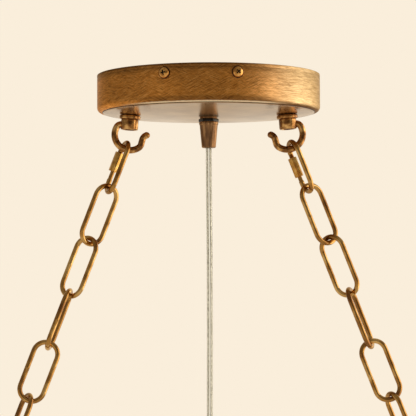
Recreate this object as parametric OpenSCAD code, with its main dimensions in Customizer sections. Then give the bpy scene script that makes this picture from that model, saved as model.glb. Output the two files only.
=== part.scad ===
/* [Canopy] */
// Diameter of the round canopy pan
canopy_d = 150; // [130:1:190]
// Height of the canopy's straight side, bottom bend included
canopy_h = 25; // [22:0.5:40]
// Sheet thickness of the canopy pan
canopy_wall = 1.2; // [0.8:0.1:1.8]
// Radius of the bend between the canopy's side and bottom
canopy_bend_r = 3; // [2:0.5:6]
// How far the canopy's bottom bulges below its bend
canopy_crown = 3.5; // [1:0.5:6]
// Distance of the side screws below the ceiling
side_screw_drop = 6; // [5:0.5:8]
// Angle of the left front side screw from straight ahead
side_screw_left = 22.3; // [15:0.1:28]
// Angle of the right front side screw from straight ahead
side_screw_right = 14.5; // [12:0.1:24]
// Diameter of a side screw's head
side_screw_head_d = 7; // [6:0.1:8]
// Height of a side screw's head
side_screw_head_h = 2.4; // [1.6:0.1:3]
// Thread diameter of the side screws
side_screw_d = 4; // [3:0.5:5]

/* [Bracket] */
// Width of the bracket's bar
bracket_w = 22; // [18:1:30]
// Sheet thickness of the bracket
bracket_t = 1.6; // [1.2:0.1:2.5]
// Height of the bracket's bent ends
bracket_flange_h = 12; // [10:0.5:16]
// How far a bent end reaches past each of its screws, in degrees
bracket_flange_reach = 8; // [6:1:14]
// Distance between the two ceiling screw slots
ceiling_slot_spacing = 79.4; // [70:0.1:90]
// Full length of a ceiling screw slot
ceiling_slot_l = 24; // [14:1:30]
// Width of a ceiling screw slot
ceiling_slot_w = 4.6; // [4.2:0.1:6]
// Diameter of the earth screw's head
earth_screw_head_d = 6.5; // [5:0.5:8]
// Thread diameter of the earth screw
earth_screw_d = 4; // [3:0.5:4.5]
// Length of the terminal block
terminal_l = 30; // [24:1:36]
// Depth of the terminal block
terminal_w = 16; // [12:1:18]
// Height of the terminal block
terminal_h = 11; // [9:1:12]
// Height of the lock nuts inside the canopy
lock_nut_h = 3; // [2:0.5:4]

/* [Cord grip] */
// Thread diameter of the cord grip's nipple
grip_thread_d = 10; // [8:0.5:12]
// Width across the flats of the black hex nut
grip_nut_af = 11.8; // [11.5:0.1:14]
// Height of the black hex nut
grip_nut_h = 2.9; // [2:0.1:5]
// Diameter of the collar at the thick end of a cord grip
grip_collar_d = 13; // [12:0.1:16]
// Height of that collar
grip_collar_h = 2; // [1:0.1:3]
// Diameter of a cord grip's taper beside its collar
grip_root_d = 12.2; // [11.5:0.1:15]
// Diameter of a cord grip's thin end
grip_tip_d = 9.6; // [8:0.1:11]
// Full length of a cord grip
grip_l = 17.5; // [14:0.5:24]

/* [Cord] */
// Width of the cord
cord_d = 4; // [3:0.1:5]
// Clearance round the cord in a grip
cord_clearance = 0.4; // [0.2:0.1:0.8]

/* [Hooks] */
// Distance of each hook from the canopy's centre
hook_offset = 52.8; // [48:0.1:58]
// Diameter of the collar ring above a hook's hub
hub_ring_d = 14.3; // [13:0.1:16]
// Height of that collar ring
hub_ring_h = 3; // [2:0.1:4]
// Outside diameter of a hook's hub
hub_d = 11.8; // [11.2:0.1:13]
// Height of a hook's hub
hub_h = 6.9; // [6:0.1:9]
// Thread diameter of a hook's nipple
hook_thread_d = 8; // [6:0.5:8.5]
// Thickness of a hook's wire
hook_wire_d = 4.5; // [4:0.1:5]
// Radius of a hook's curl, at the middle of its wire
hook_curl_r = 10.5; // [10:0.1:12]
// Drop from the bottom of a hub to the middle of its hook's curl
hook_curl_drop = 3.2; // [2.5:0.1:4]

/* [Chain] */
// Angle of the chains from straight down
chain_angle = 21.2; // [15:0.1:26]
// Thickness of a chain link's wire
link_wire_d = 3.4; // [2.8:0.1:3.8]
// Inside length of a chain link
link_inner_l = 37.8; // [32:0.1:44]
// Outside width of a chain link
link_w = 19.8; // [18:0.1:23]
// Number of links in each chain
link_count = 12; // [10:2:14]
// Room left between two links where they pull on each other
link_gap = 0.3; // [0.2:0.05:0.4]
// Thickness of a quick link's wire
quick_wire_d = 3.5; // [3.3:0.1:4]
// Inside length of a quick link
quick_inner_l = 31.8; // [29:0.1:36]
// Outside width of a quick link
quick_w = 17.8; // [16.8:0.1:19]
// Room left at the joints where a quick link swings
pivot_gap = 0.5; // [0.4:0.05:0.6]
// Length of a quick link's sleeve nut
sleeve_nut_l = 13.7; // [12:0.1:15]
// Width across the flats of a sleeve nut
sleeve_nut_af = 5.6; // [5.4:0.1:7]
// How far a closed sleeve nut hides the upper end of its leg
sleeve_nut_cover = 4.5; // [3:0.1:6]

/* [Frame] */
// Length of the rectangular frame
frame_l = 900; // [860:5:1000]
// Depth of the rectangular frame
frame_w = 260; // [200:5:320]
// Height of the rectangular frame
frame_h = 280; // [262:2:340]
// Width of the frame's square tube
tube_w = 12; // [10:0.5:16]
// Wall of the frame's square tube
tube_wall = 1; // [0.8:0.1:1.5]
// Thickness of an eye bolt's ring
eye_wire_d = 4.5; // [4:0.1:5]
// Radius of an eye bolt's ring, at the middle of its wire
eye_r = 8; // [7.5:0.1:9]
// Diameter of an eye bolt's foot
eye_foot_d = 11; // [9:0.5:12]
// Height of an eye bolt's foot
eye_foot_h = 3; // [2:0.5:5]
// Thread diameter of an eye bolt
eye_thread_d = 5; // [4:0.5:6]
// Height of an eye bolt's nut
eye_nut_h = 4; // [3:0.5:5]

/* [Lights] */
// Number of candle lights
light_count = 4; // [2:2:4]
// Distance between two candle lights
light_spacing = 180; // [140:5:200]
// Diameter of the stem that carries the light bar
stem_d = 10; // [8:0.5:12]
// Length of that stem, from the spine to the light bar
stem_l = 190; // [180:1:210]
// Depth of the light bar
bar_w = 16; // [14:1:20]
// Height of the light bar
bar_h = 10; // [8:1:14]
// Diameter of a drip pan
drip_pan_d = 46; // [38:1:60]
// Rise of a drip pan's rim
drip_pan_h = 6; // [4:0.5:10]
// Sheet thickness of a drip pan
drip_pan_t = 1.2; // [0.8:0.1:2]
// Outside diameter of a candle sleeve
sleeve_d = 22; // [20.5:0.5:25]
// Wall of a candle sleeve
sleeve_wall = 1; // [0.8:0.1:1.3]
// Height of a candle sleeve
sleeve_h = 62; // [58:1:70]
// Height of a lamp socket
socket_h = 50; // [45:1:56]
// Wall of a lamp socket
socket_wall = 1.8; // [1.4:0.1:2]
// Depth of a lamp socket's bore
socket_depth = 20; // [16:1:24]
// Diameter of a bulb at its widest
bulb_d = 34; // [30:1:38]
// Height of a bulb's glass
bulb_h = 78; // [70:1:84]
// Wall of a bulb's glass
glass_wall = 0.8; // [0.6:0.1:1.2]
// Diameter of a bulb's screw base
bulb_base_d = 13.2; // [12:0.1:13.8]
// Height of a bulb's screw base
bulb_base_h = 24; // [22:1:28]

/* [Hidden] */
$fn = 64;
gold = [0.62, 0.42, 0.19];
sheet_metal = [0.72, 0.72, 0.70];
black_finish = [0.08, 0.08, 0.09];
clear_pvc = [0.80, 0.84, 0.80, 0.6];
candle_white = [0.90, 0.86, 0.76];
ceramic = [0.93, 0.92, 0.88];
glass_tint = [0.95, 0.93, 0.86, 0.35];
screw_fit = 0.05;
hole_play = 0.25;
seat_gap = 0.1;
thread_end = 2.5;
nut_rim = 4;

// Canopy
canopy_r = canopy_d / 2;
crown_r = canopy_r - canopy_bend_r;
inner_r = canopy_r - canopy_wall;
function crown_z(r) = -canopy_h - canopy_crown * (1 - pow(r / crown_r, 2));
canopy_bottom = crown_z(0);
screw_angles = [-side_screw_left, side_screw_right, 180 - side_screw_left, 180 + side_screw_right];

// Bracket and terminal block
flange_gap = 0.3;
flange_r = inner_r - flange_gap;
flange_lip = 8;
flange_mid = (side_screw_right - side_screw_left) / 2;
flange_span = side_screw_left + side_screw_right + 2 * bracket_flange_reach;
terminal_gap = 3;
terminal_y = grip_thread_d / 2 + terminal_gap;
earth_screw_gap = 4;
earth_screw_y = -grip_thread_d / 2 - earth_screw_head_d / 2 - earth_screw_gap;
earth_screw_head_h = 2.2;

// Cord grip
grip_nut_bottom = canopy_bottom - grip_nut_h;
grip_bore_r = cord_d / 2 + cord_clearance;
grip_thread_l = 3;
lock_nut_z = crown_z(grip_thread_d) + canopy_wall;
nipple_top = lock_nut_z + lock_nut_h + thread_end;

// Hooks
hub_z = crown_z(hook_offset);
hub_tilt = atan(2 * canopy_crown * hook_offset / pow(crown_r, 2));
curl_z = hub_z - hub_ring_h - hub_h - hook_curl_drop;
hook_bore_r = hook_thread_d / 2 + hole_play;
hook_thread_l = 4;
nipple_wall = 1.2;

// Places along a chain, from the middle of its hook's curl
quick_top = hook_curl_r - hook_wire_d / 2 - pivot_gap;
quick_bottom = quick_top + quick_inner_l;
link_pitch = link_inner_l - link_gap;
function link_top(i) = quick_bottom - pivot_gap + (i - 1) * link_pitch;
low_quick_top = link_top(link_count) + link_pitch;
low_quick_bottom = low_quick_top + quick_inner_l;
eye_inner = low_quick_bottom - pivot_gap;
eye_middle = eye_inner + eye_r - eye_wire_d / 2;
own_nodes = 6;
left_spins = [-36, 34, -84, 0, 66, -24];
right_spins = [-36, 34, -74, 0, 66, -24];
quick_spin = 70;
low_quick_spin = 66;
function link_spin(side, i) = i <= own_nodes
    ? (side < 0 ? left_spins[i - 1] : right_spins[i - 1])
    : (i % 2 == 0 ? -24 : 66);

// Quick links
quick_half = (quick_w - quick_wire_d) / 2;
quick_bend_z = quick_half - quick_wire_d / 2;
sleeve_gap = 1.2;
thread_step = 0.3;
nut_gap = 0.3;
nut_start = quick_bend_z + nut_gap;
right_nut_back = 2.4;

// Frame
eye_x = hook_offset + eye_middle * sin(chain_angle);
eye_z = curl_z - eye_middle * cos(chain_angle);
foot_bite = 1;
frame_top = eye_z - eye_r - eye_wire_d / 2 - eye_foot_h + foot_bite;
frame_bottom = frame_top - frame_h;
rail_x = frame_l / 2 - tube_w;
rail_y = frame_w / 2 - tube_w;
wire_hole_d = 6;

// Lights
bar_top = frame_top - tube_w - stem_l;
bar_l = (light_count - 1) * light_spacing + drip_pan_d;
light_z = bar_top + drip_pan_t;
base_play = 0.2;
socket_bore_d = bulb_base_d + 2 * base_play;
socket_d = socket_bore_d + 2 * socket_wall;
base_z = light_z + socket_h - socket_depth;
glass_z = base_z + bulb_base_h;
neck_r = bulb_base_d / 2;
light_xs = [for (i = [0 : light_count - 1]) (i - (light_count - 1) / 2) * light_spacing];

// Route of the cord, and of its end inside the canopy
cord_route = [[0, 0, -49.5], [0, 0, -75], [0.3, 0, -120], [0.2, 0, -180], [-0.2, 0, -250],
    [-0.2, 0, -330], [0.1, 0, -410], [0, 0, -470], [0, 0, -527]];
tail_route = [[0, 0, -48.9], [0, 0, -36], [0, 0, -24], [0, 0.4, -17], [0, 2, -12], [0, 4, -9.1],
    [0, 6, -7.5], [0, 7.85, -7.5]];
cord_sides = 10;
ring_step = 12;

// Arc of points about a centre, from one angle to another
function arc(x, y, r, from, to, steps) =
    [for (i = [0 : steps]) let (a = from + (to - from) * i / steps) [x + r * cos(a), y + r * sin(a)]];

// Places a hub's own parts: the crown's slope tips them outward
module at_hub(side) {
    translate([side * hook_offset, 0, hub_z])
        rotate([0, -side * hub_tilt, 0])
            children();
}

// Places a part of a chain at a distance from the middle of the hook's curl, turned about the chain
module on_chain(side, distance, spin) {
    translate([side * hook_offset, 0, curl_z])
        rotate([0, -side * chain_angle, 0])
            translate([0, 0, -distance])
                rotate([0, 0, -spin])
                    children();
}

// Places a side screw's own parts, with +Z out of the canopy
module at_side_screw(angle) {
    rotate([0, 0, angle])
        translate([0, -canopy_r, -side_screw_drop])
            rotate([90, 0, 0])
                children();
}

// Part of a ring of round wire in the XZ plane
module wire_arc(r, wire, from, to) {
    rotate([90, 0, 0])
        rotate([0, 0, from])
            rotate_extrude(angle = to - from)
                translate([r, 0])
                    circle(d = wire, $fn = 32);
}

module hex_nut(af, h, bore) {
    difference() {
        cylinder(d = af / cos(30), h = h, $fn = 6);
        translate([0, 0, -1])
            cylinder(d = bore, h = h + 2);
    }
}

// Sweeps a round tube along a route
function route_points(route) = [for (i = [0 : len(route) - 2])
    let (gap = route[i + 1] - route[i], steps = max(1, round(norm(gap) / ring_step)))
    for (j = [0 : steps - 1]) route[i] + gap * j / steps, route[len(route) - 1]];
function unit(v) = v / norm(v);
function heading(p, i) = unit(p[min(i + 1, len(p) - 1)] - p[max(i - 1, 0)]);
module tube(route, d, sides) {
    p = route_points(route);
    rings = len(p);
    points = [for (i = [0 : rings - 1])
        let (t = heading(p, i), u = unit([1, 0, 0] - t * t[0]), v = cross(t, u))
        for (j = [0 : sides - 1])
            p[i] + d / 2 * (u * cos(360 * j / sides) + v * sin(360 * j / sides))];
    walls = [for (i = [0 : rings - 2]) for (j = [0 : sides - 1])
        let (a = i * sides + j, b = i * sides + (j + 1) % sides)
        for (face = [[a, a + sides, b], [b, a + sides, b + sides]]) face];
    start = [for (j = [0 : sides - 1]) j];
    end = [for (j = [0 : sides - 1]) rings * sides - 1 - j];
    polyhedron(points = points, faces = concat([start], walls, [end]), convexity = 2);
}

// Canopy

module mounting_bracket() {
    lip_r = flange_r - bracket_t - flange_lip;
    hole_l = 12;
    slot_middle_l = ceiling_slot_l - ceiling_slot_w;
    color(sheet_metal)
        difference() {
            union() {
                translate([-bracket_w / 2, -flange_r + bracket_t, -bracket_t])
                    cube([bracket_w, 2 * (flange_r - bracket_t), bracket_t]);
                for (turn = [0, 180])
                    rotate([0, 0, turn + flange_mid - 90 - flange_span / 2])
                        rotate_extrude(angle = flange_span)
                            polygon([[lip_r, 0], [flange_r, 0], [flange_r, -bracket_flange_h],
                                [flange_r - bracket_t, -bracket_flange_h], [flange_r - bracket_t, -bracket_t],
                                [lip_r, -bracket_t]]);
            }
            for (side = [-1, 1])
                for (end = [-1, 1])
                    translate([0, (side * ceiling_slot_spacing + end * slot_middle_l) / 2, -bracket_t - 1])
                        cylinder(d = ceiling_slot_w, h = bracket_t + 2);
            for (side = [-1, 1])
                translate([-ceiling_slot_w / 2, (side * ceiling_slot_spacing - slot_middle_l) / 2,
                    -bracket_t - 1])
                    cube([ceiling_slot_w, slot_middle_l, bracket_t + 2]);
            translate([0, 0, -bracket_t - 1])
                cylinder(d = grip_thread_d + 2 * hole_play, h = bracket_t + 2);
            translate([0, earth_screw_y, -bracket_t - 1])
                cylinder(d = earth_screw_d, h = bracket_t + 2);
            for (angle = screw_angles)
                at_side_screw(angle)
                    translate([0, 0, 2 - hole_l])
                        cylinder(d = side_screw_d, h = hole_l);
        }
}

module earth_screw() {
    slot_w = 1;
    slot_depth = 1;
    head_bottom = -bracket_t - earth_screw_head_h;
    color("green")
        translate([0, earth_screw_y, 0])
            difference() {
                union() {
                    translate([0, 0, head_bottom])
                        cylinder(d = earth_screw_head_d, h = earth_screw_head_h);
                    translate([0, 0, -bracket_t])
                        cylinder(r = earth_screw_d / 2 - screw_fit, h = bracket_t);
                }
                translate([-earth_screw_head_d / 2 - 1, -slot_w / 2, head_bottom - 1])
                    cube([earth_screw_head_d + 2, slot_w, slot_depth + 1]);
            }
}

module canopy_pan() {
    in_bend = max(canopy_bend_r - canopy_wall, 0.5);
    bend_z = -canopy_h + canopy_bend_r;
    steps = 8;
    outside = concat([[canopy_r, 0]], arc(crown_r, bend_z, canopy_bend_r, 0, -90, steps),
        [for (i = [1 : steps]) let (r = crown_r * (1 - i / steps)) [r, crown_z(r)]]);
    inside = concat([for (i = [0 : steps - 1]) let (r = crown_r * i / steps) [r, crown_z(r) + canopy_wall]],
        arc(crown_r, bend_z, in_bend, -90, 0, steps), [[inner_r, 0]]);
    color(gold)
        difference() {
            rotate_extrude($fn = 128)
                polygon(concat(outside, inside));
            translate([0, 0, canopy_bottom - 1])
                cylinder(d = grip_thread_d + 2 * hole_play, h = canopy_wall + 3);
            for (side = [-1, 1])
                at_hub(side)
                    translate([0, 0, -2])
                        cylinder(d = hook_thread_d + 2 * hole_play, h = canopy_wall + 4);
            for (angle = screw_angles)
                at_side_screw(angle)
                    translate([0, 0, -3])
                        cylinder(d = side_screw_d + 2 * hole_play, h = 5);
        }
}

module side_screws() {
    r = side_screw_head_d / 2;
    bevel = 0.9;
    dome = 0.5;
    shank = canopy_r - flange_r + bracket_t + thread_end;
    slot_w = 0.8;
    slot_l = 3.4;
    color(gold)
        for (angle = screw_angles)
            at_side_screw(angle)
                difference() {
                    union() {
                        rotate_extrude()
                            polygon(concat([[0, 0], [r, 0]],
                                arc(r - bevel, side_screw_head_h - dome - bevel, bevel, 0, 60, 4),
                                [[r * 0.5, side_screw_head_h - dome * 0.3], [0, side_screw_head_h]]));
                        translate([0, 0, -shank])
                            cylinder(r = side_screw_d / 2 - screw_fit, h = shank);
                    }
                    for (turn = [0, 90])
                        rotate([0, 0, turn])
                            translate([-slot_l / 2, -slot_w / 2, side_screw_head_h - 1.3])
                                cube([slot_l, slot_w, 2]);
                }
}

module terminal_block() {
    wires = 3;
    well_d = 4;
    well_depth = 4;
    color(ceramic)
        translate([-terminal_l / 2, terminal_y, -bracket_t - terminal_h])
            difference() {
                cube([terminal_l, terminal_w, terminal_h]);
                for (i = [0 : wires - 1])
                    translate([terminal_l * (i + 0.5) / wires, terminal_w / 2, -1])
                        cylinder(d = well_d, h = well_depth + 1);
            }
}

module cord_end() {
    color(clear_pvc)
        tube(tail_route, cord_d, cord_sides);
}

module grip_nipple() {
    bottom = grip_nut_bottom - grip_collar_h - grip_thread_l;
    color(sheet_metal)
        translate([0, 0, bottom])
            difference() {
                cylinder(r = grip_thread_d / 2 - screw_fit, h = nipple_top - bottom);
                translate([0, 0, -1])
                    cylinder(r = grip_bore_r, h = nipple_top - bottom + 2);
            }
}

module grip_lock_nut() {
    color(sheet_metal)
        translate([0, 0, lock_nut_z])
            hex_nut(grip_thread_d + nut_rim, lock_nut_h, grip_thread_d);
}

module grip_hex_nut() {
    edge = 0.5;
    nut_turn = 10;
    corner_r = grip_nut_af / 2 / cos(30);
    color(black_finish)
        translate([0, 0, grip_nut_bottom])
            intersection() {
                rotate([0, 0, nut_turn])
                    hex_nut(grip_nut_af, grip_nut_h, grip_thread_d);
                rotate_extrude()
                    polygon([[0, 0], [corner_r - edge, 0], [corner_r, edge], [corner_r, grip_nut_h - edge],
                        [corner_r - edge, grip_nut_h], [0, grip_nut_h]]);
            }
}

// Tapered cord grip, standing on z = 0 with its collar below
module grip_body(socket) {
    edge = 0.4;
    difference() {
        rotate_extrude()
            polygon([[0, 0], [grip_collar_d / 2, 0], [grip_collar_d / 2, grip_collar_h - edge],
                [grip_collar_d / 2 - edge, grip_collar_h], [grip_root_d / 2, grip_collar_h],
                [grip_tip_d / 2, grip_l - edge], [grip_tip_d / 2 - edge, grip_l], [0, grip_l]]);
        translate([0, 0, -1])
            cylinder(r = grip_bore_r, h = grip_l + 2);
        if (socket)
            translate([0, 0, -1])
                cylinder(d = grip_thread_d, h = grip_collar_h + grip_thread_l + 1);
    }
}

module cord_grip() {
    color(gold)
        translate([0, 0, grip_nut_bottom])
            mirror([0, 0, 1])
                grip_body(true);
}

// Hooks

module hook_nipples() {
    top = canopy_wall + seat_gap + lock_nut_h + thread_end;
    bottom = -hub_ring_h - hook_thread_l;
    color(sheet_metal)
        for (side = [-1, 1])
            at_hub(side)
                translate([0, 0, bottom])
                    difference() {
                        cylinder(d = hook_thread_d, h = top - bottom);
                        translate([0, 0, -1])
                            cylinder(d = hook_thread_d - 2 * nipple_wall, h = top - bottom + 2);
                    }
}

module hook_lock_nuts() {
    color(sheet_metal)
        for (side = [-1, 1])
            at_hub(side)
                translate([0, 0, canopy_wall + seat_gap])
                    hex_nut(hook_thread_d + nut_rim, lock_nut_h, hook_thread_d + 2 * screw_fit);
}

module hub_rings() {
    edge = 0.6;
    r = hub_ring_d / 2;
    color(gold)
        for (side = [-1, 1])
            at_hub(side)
                difference() {
                    rotate_extrude()
                        polygon([[0, -hub_ring_h], [r - edge, -hub_ring_h], [r, -hub_ring_h + edge],
                            [r, -edge], [r - edge, 0], [0, 0]]);
                    translate([0, 0, -hub_ring_h - 1])
                        cylinder(r = hook_bore_r, h = hub_ring_h + 2);
                }
}

// Round wire bend with a slight bead at its start, where it joins the wire before it
module joined_arc(r, wire, from, to, bead_at) {
    bead = 0.1;
    wire_arc(r, wire, from, to);
    translate([r * cos(bead_at), 0, r * sin(bead_at)])
        sphere(d = wire + bead);
}

module hook(side) {
    root_at = 150;
    root_r = 3.5;
    turn_at = 300;
    turn_r = 4.5;
    turn_by = 45;
    tip_by = 90;
    tip_bead = 0.3;
    root_x = (hook_curl_r - root_r) * cos(root_at);
    root_z = (hook_curl_r - root_r) * sin(root_at);
    turn_x = (hook_curl_r - turn_r) * cos(turn_at);
    turn_z = (hook_curl_r - turn_r) * sin(turn_at);
    up = turn_at + turn_by;
    neck_l = 2.9;
    tip_r = 4.5;
    tip_x = turn_x + (turn_r + tip_r) * cos(up) + neck_l * cos(up + 90);
    tip_z = turn_z + (turn_r + tip_r) * sin(up) + neck_l * sin(up + 90);
    tip_end = up - 180 - tip_by / 2 - 10;
    mirror([side > 0 ? 1 : 0, 0, 0])
        difference() {
            union() {
                at_hub(-1)
                    translate([0, 0, -hub_ring_h - seat_gap - hub_h])
                        cylinder(d = hub_d, h = hub_h);
                translate([-hook_offset, 0, curl_z]) {
                    translate([root_x, 0, root_z + root_r])
                        rotate([0, 90, 0])
                            cylinder(d = hook_wire_d, h = -root_x - hook_thread_d / 4);
                    translate([root_x, 0, root_z])
                        joined_arc(root_r, hook_wire_d, 90, root_at, 90);
                    joined_arc(hook_curl_r, hook_wire_d, root_at, turn_at, root_at);
                    translate([turn_x, 0, turn_z])
                        joined_arc(turn_r, hook_wire_d, turn_at, up, turn_at);
                    translate([turn_x + turn_r * cos(up), 0, turn_z + turn_r * sin(up)])
                        rotate([0, -up, 0]) {
                            cylinder(d = hook_wire_d, h = neck_l);
                            sphere(d = hook_wire_d + 0.1);
                        }
                    translate([tip_x, 0, tip_z]) {
                        joined_arc(tip_r, hook_wire_d, tip_end, up - 180, up - 180);
                        translate([tip_r * cos(tip_end), 0, tip_r * sin(tip_end)])
                            sphere(d = hook_wire_d + tip_bead);
                    }
                }
            }
            at_hub(-1)
                translate([0, 0, -hub_ring_h - hub_h - 3])
                    cylinder(r = hook_bore_r, h = hub_h + 4);
        }
}

module hook_left() {
    color(gold)
        hook(-1);
}

module hook_right() {
    color(gold)
        hook(1);
}

// Chains

// Oval link of round wire, hanging down from the inside of its upper end
module link(inner_l, w, wire) {
    half = (w - wire) / 2;
    bend = half - wire / 2;
    for (side = [-1, 1])
        translate([side * half, 0, bend - inner_l])
            cylinder(d = wire, h = inner_l - 2 * bend, $fn = 32);
    translate([0, 0, -bend])
        wire_arc(half, wire, 0, 180);
    translate([0, 0, bend - inner_l])
        wire_arc(half, wire, 180, 360);
}

// Quick link: an oval link whose left leg is cut through where its sleeve nut closes it
module quick_link() {
    thin = quick_wire_d - 2 * thread_step;
    cut = quick_bend_z + sleeve_nut_cover;
    leg_end = quick_inner_l - quick_bend_z;
    translate([quick_half, 0, -leg_end])
        cylinder(d = quick_wire_d, h = leg_end - quick_bend_z, $fn = 32);
    translate([0, 0, -quick_bend_z])
        wire_arc(quick_half, quick_wire_d, 0, 180);
    translate([0, 0, -leg_end])
        wire_arc(quick_half, quick_wire_d, 180, 360);
    translate([-quick_half, 0, -cut])
        cylinder(d = quick_wire_d, h = sleeve_nut_cover, $fn = 32);
    translate([-quick_half, 0, -leg_end])
        cylinder(d = thin, h = leg_end - cut - sleeve_gap, $fn = 32);
}

module sleeve_nut(back, turn) {
    edge = 0.5;
    corner_r = sleeve_nut_af / 2 / cos(30);
    bore = quick_wire_d + 2 * screw_fit;
    translate([-quick_half, 0, -nut_start - back - sleeve_nut_l])
        intersection() {
            rotate([0, 0, turn])
                hex_nut(sleeve_nut_af, sleeve_nut_l, bore);
            rotate_extrude()
                polygon([[0, 0], [corner_r - edge, 0], [corner_r, edge * 2],
                    [corner_r, sleeve_nut_l - edge * 2], [corner_r - edge, sleeve_nut_l], [0, sleeve_nut_l]]);
        }
}

module quick_link_left() {
    color(gold)
        on_chain(-1, quick_top, quick_spin)
            quick_link();
}

module quick_link_right() {
    color(gold)
        on_chain(1, quick_top, quick_spin)
            quick_link();
}

module sleeve_nut_left() {
    color(gold)
        on_chain(-1, quick_top, quick_spin)
            sleeve_nut(0, 0);
}

module sleeve_nut_right() {
    color(gold)
        on_chain(1, quick_top, quick_spin)
            sleeve_nut(right_nut_back, 30);
}

module chain_link(side, i) {
    color(gold)
        on_chain(side, link_top(i), link_spin(side, i))
            link(link_inner_l, link_w, link_wire_d);
}

module link_left_1() chain_link(-1, 1);
module link_left_2() chain_link(-1, 2);
module link_left_3() chain_link(-1, 3);
module link_left_4() chain_link(-1, 4);
module link_left_5() chain_link(-1, 5);
module link_left_6() chain_link(-1, 6);
module link_right_1() chain_link(1, 1);
module link_right_2() chain_link(1, 2);
module link_right_3() chain_link(1, 3);
module link_right_4() chain_link(1, 4);
module link_right_5() chain_link(1, 5);
module link_right_6() chain_link(1, 6);

// The other links of a chain, in three groups
function group_start(group) = own_nodes + 1 + round(group * (link_count - own_nodes) / 3);
module link_group(side, group) {
    for (i = [group_start(group) : group_start(group + 1) - 1])
        chain_link(side, i);
}

module links_left_middle() link_group(-1, 0);
module links_left_lower() link_group(-1, 1);
module links_left_last() link_group(-1, 2);
module links_right_middle() link_group(1, 0);
module links_right_lower() link_group(1, 1);
module links_right_last() link_group(1, 2);

module low_quick_link_left() {
    color(gold)
        on_chain(-1, low_quick_top, low_quick_spin)
            quick_link();
}

module low_quick_link_right() {
    color(gold)
        on_chain(1, low_quick_top, low_quick_spin)
            quick_link();
}

module low_sleeve_nut_left() {
    color(gold)
        on_chain(-1, low_quick_top, low_quick_spin)
            sleeve_nut(0, 0);
}

module low_sleeve_nut_right() {
    color(gold)
        on_chain(1, low_quick_top, low_quick_spin)
            sleeve_nut(0, 0);
}

module cord() {
    color(clear_pvc)
        tube(cord_route, cord_d, cord_sides);
}

// Frame

module eye_bolts() {
    thread_l = tube_w + eye_nut_h + thread_end;
    color(gold)
        for (side = [-1, 1])
            translate([side * eye_x, 0, 0]) {
                translate([0, 0, eye_z])
                    wire_arc(eye_r, eye_wire_d, 0, 360);
                translate([0, 0, frame_top])
                    cylinder(d = eye_foot_d, h = eye_foot_h);
                translate([0, 0, frame_top - thread_l])
                    cylinder(r = eye_thread_d / 2 - screw_fit, h = thread_l + 1);
            }
}

module eye_nuts() {
    color(gold)
        for (side = [-1, 1])
            translate([side * eye_x, 0, frame_top - tube_w - eye_nut_h])
                hex_nut(eye_thread_d + nut_rim, eye_nut_h, eye_thread_d);
}

// Square tube along X, from its lowest corner
module square_tube(l) {
    difference() {
        cube([l, tube_w, tube_w]);
        translate([-1, tube_wall, tube_wall])
            cube([l + 2, tube_w - 2 * tube_wall, tube_w - 2 * tube_wall]);
    }
}

module spine() {
    color(gold)
        difference() {
            translate([-rail_x, -tube_w / 2, frame_top - tube_w])
                square_tube(2 * rail_x);
            for (side = [-1, 1])
                translate([side * eye_x, 0, frame_top - tube_w - 1])
                    cylinder(d = eye_thread_d + 2 * hole_play, h = tube_w + 2);
            translate([0, 0, frame_top - tube_w - 1])
                cylinder(d = wire_hole_d, h = tube_w + 2);
        }
}

module long_rails() {
    color(gold)
        for (y = [-frame_w / 2, rail_y])
            for (z = [frame_bottom, frame_top - tube_w])
                translate([-rail_x, y, z])
                    square_tube(2 * rail_x);
}

module end_rails() {
    color(gold)
        for (x = [-rail_x, frame_l / 2])
            for (z = [frame_bottom, frame_top - tube_w])
                translate([x, -rail_y, z])
                    rotate([0, 0, 90])
                        square_tube(2 * rail_y);
}

module corner_posts() {
    color(gold)
        for (x = [-frame_l / 2, rail_x])
            for (y = [-frame_w / 2, rail_y])
                translate([x, y, frame_bottom])
                    difference() {
                        cube([tube_w, tube_w, frame_h]);
                        translate([tube_wall, tube_wall, -1])
                            cube([tube_w - 2 * tube_wall, tube_w - 2 * tube_wall, frame_h - tube_wall + 1]);
                    }
}

module low_cord_grip() {
    color(gold)
        translate([0, 0, frame_top])
            grip_body(false);
}

// Lights

module light_stem() {
    color(gold)
        translate([0, 0, bar_top])
            difference() {
                cylinder(d = stem_d, h = stem_l);
                translate([0, 0, -1])
                    cylinder(d = stem_d - 2 * tube_wall, h = stem_l + 2);
            }
}

module light_bar() {
    color(gold)
        difference() {
            translate([-bar_l / 2, -bar_w / 2, bar_top - bar_h])
                cube([bar_l, bar_w, bar_h]);
            translate([tube_wall - bar_l / 2, tube_wall - bar_w / 2, bar_top - bar_h - 1])
                cube([bar_l - 2 * tube_wall, bar_w - 2 * tube_wall, bar_h - tube_wall + 1]);
            for (x = concat([0], light_xs))
                translate([x, 0, bar_top - tube_wall - 1])
                    cylinder(d = wire_hole_d, h = tube_wall + 2);
        }
}

module drip_pans() {
    r = drip_pan_d / 2;
    slope = 5;
    color(gold)
        for (x = light_xs)
            translate([x, 0, bar_top])
                rotate_extrude()
                    polygon([[wire_hole_d / 2, 0], [r - slope, 0], [r, drip_pan_h],
                        [r - drip_pan_t, drip_pan_h], [r - slope - drip_pan_t / 2, drip_pan_t],
                        [wire_hole_d / 2, drip_pan_t]]);
}

module sockets() {
    color(ceramic)
        for (x = light_xs)
            translate([x, 0, light_z])
                difference() {
                    cylinder(d = socket_d, h = socket_h);
                    translate([0, 0, socket_h - socket_depth])
                        cylinder(d = socket_bore_d, h = socket_depth + 1);
                }
}

module candle_sleeves() {
    color(candle_white)
        for (x = light_xs)
            translate([x, 0, light_z])
                difference() {
                    cylinder(d = sleeve_d, h = sleeve_h);
                    translate([0, 0, -1])
                        cylinder(d = sleeve_d - 2 * sleeve_wall, h = sleeve_h + 2);
                }
}

module bulb_bases() {
    color(sheet_metal)
        for (x = light_xs)
            translate([x, 0, base_z])
                cylinder(d = bulb_base_d, h = bulb_base_h);
}

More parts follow.
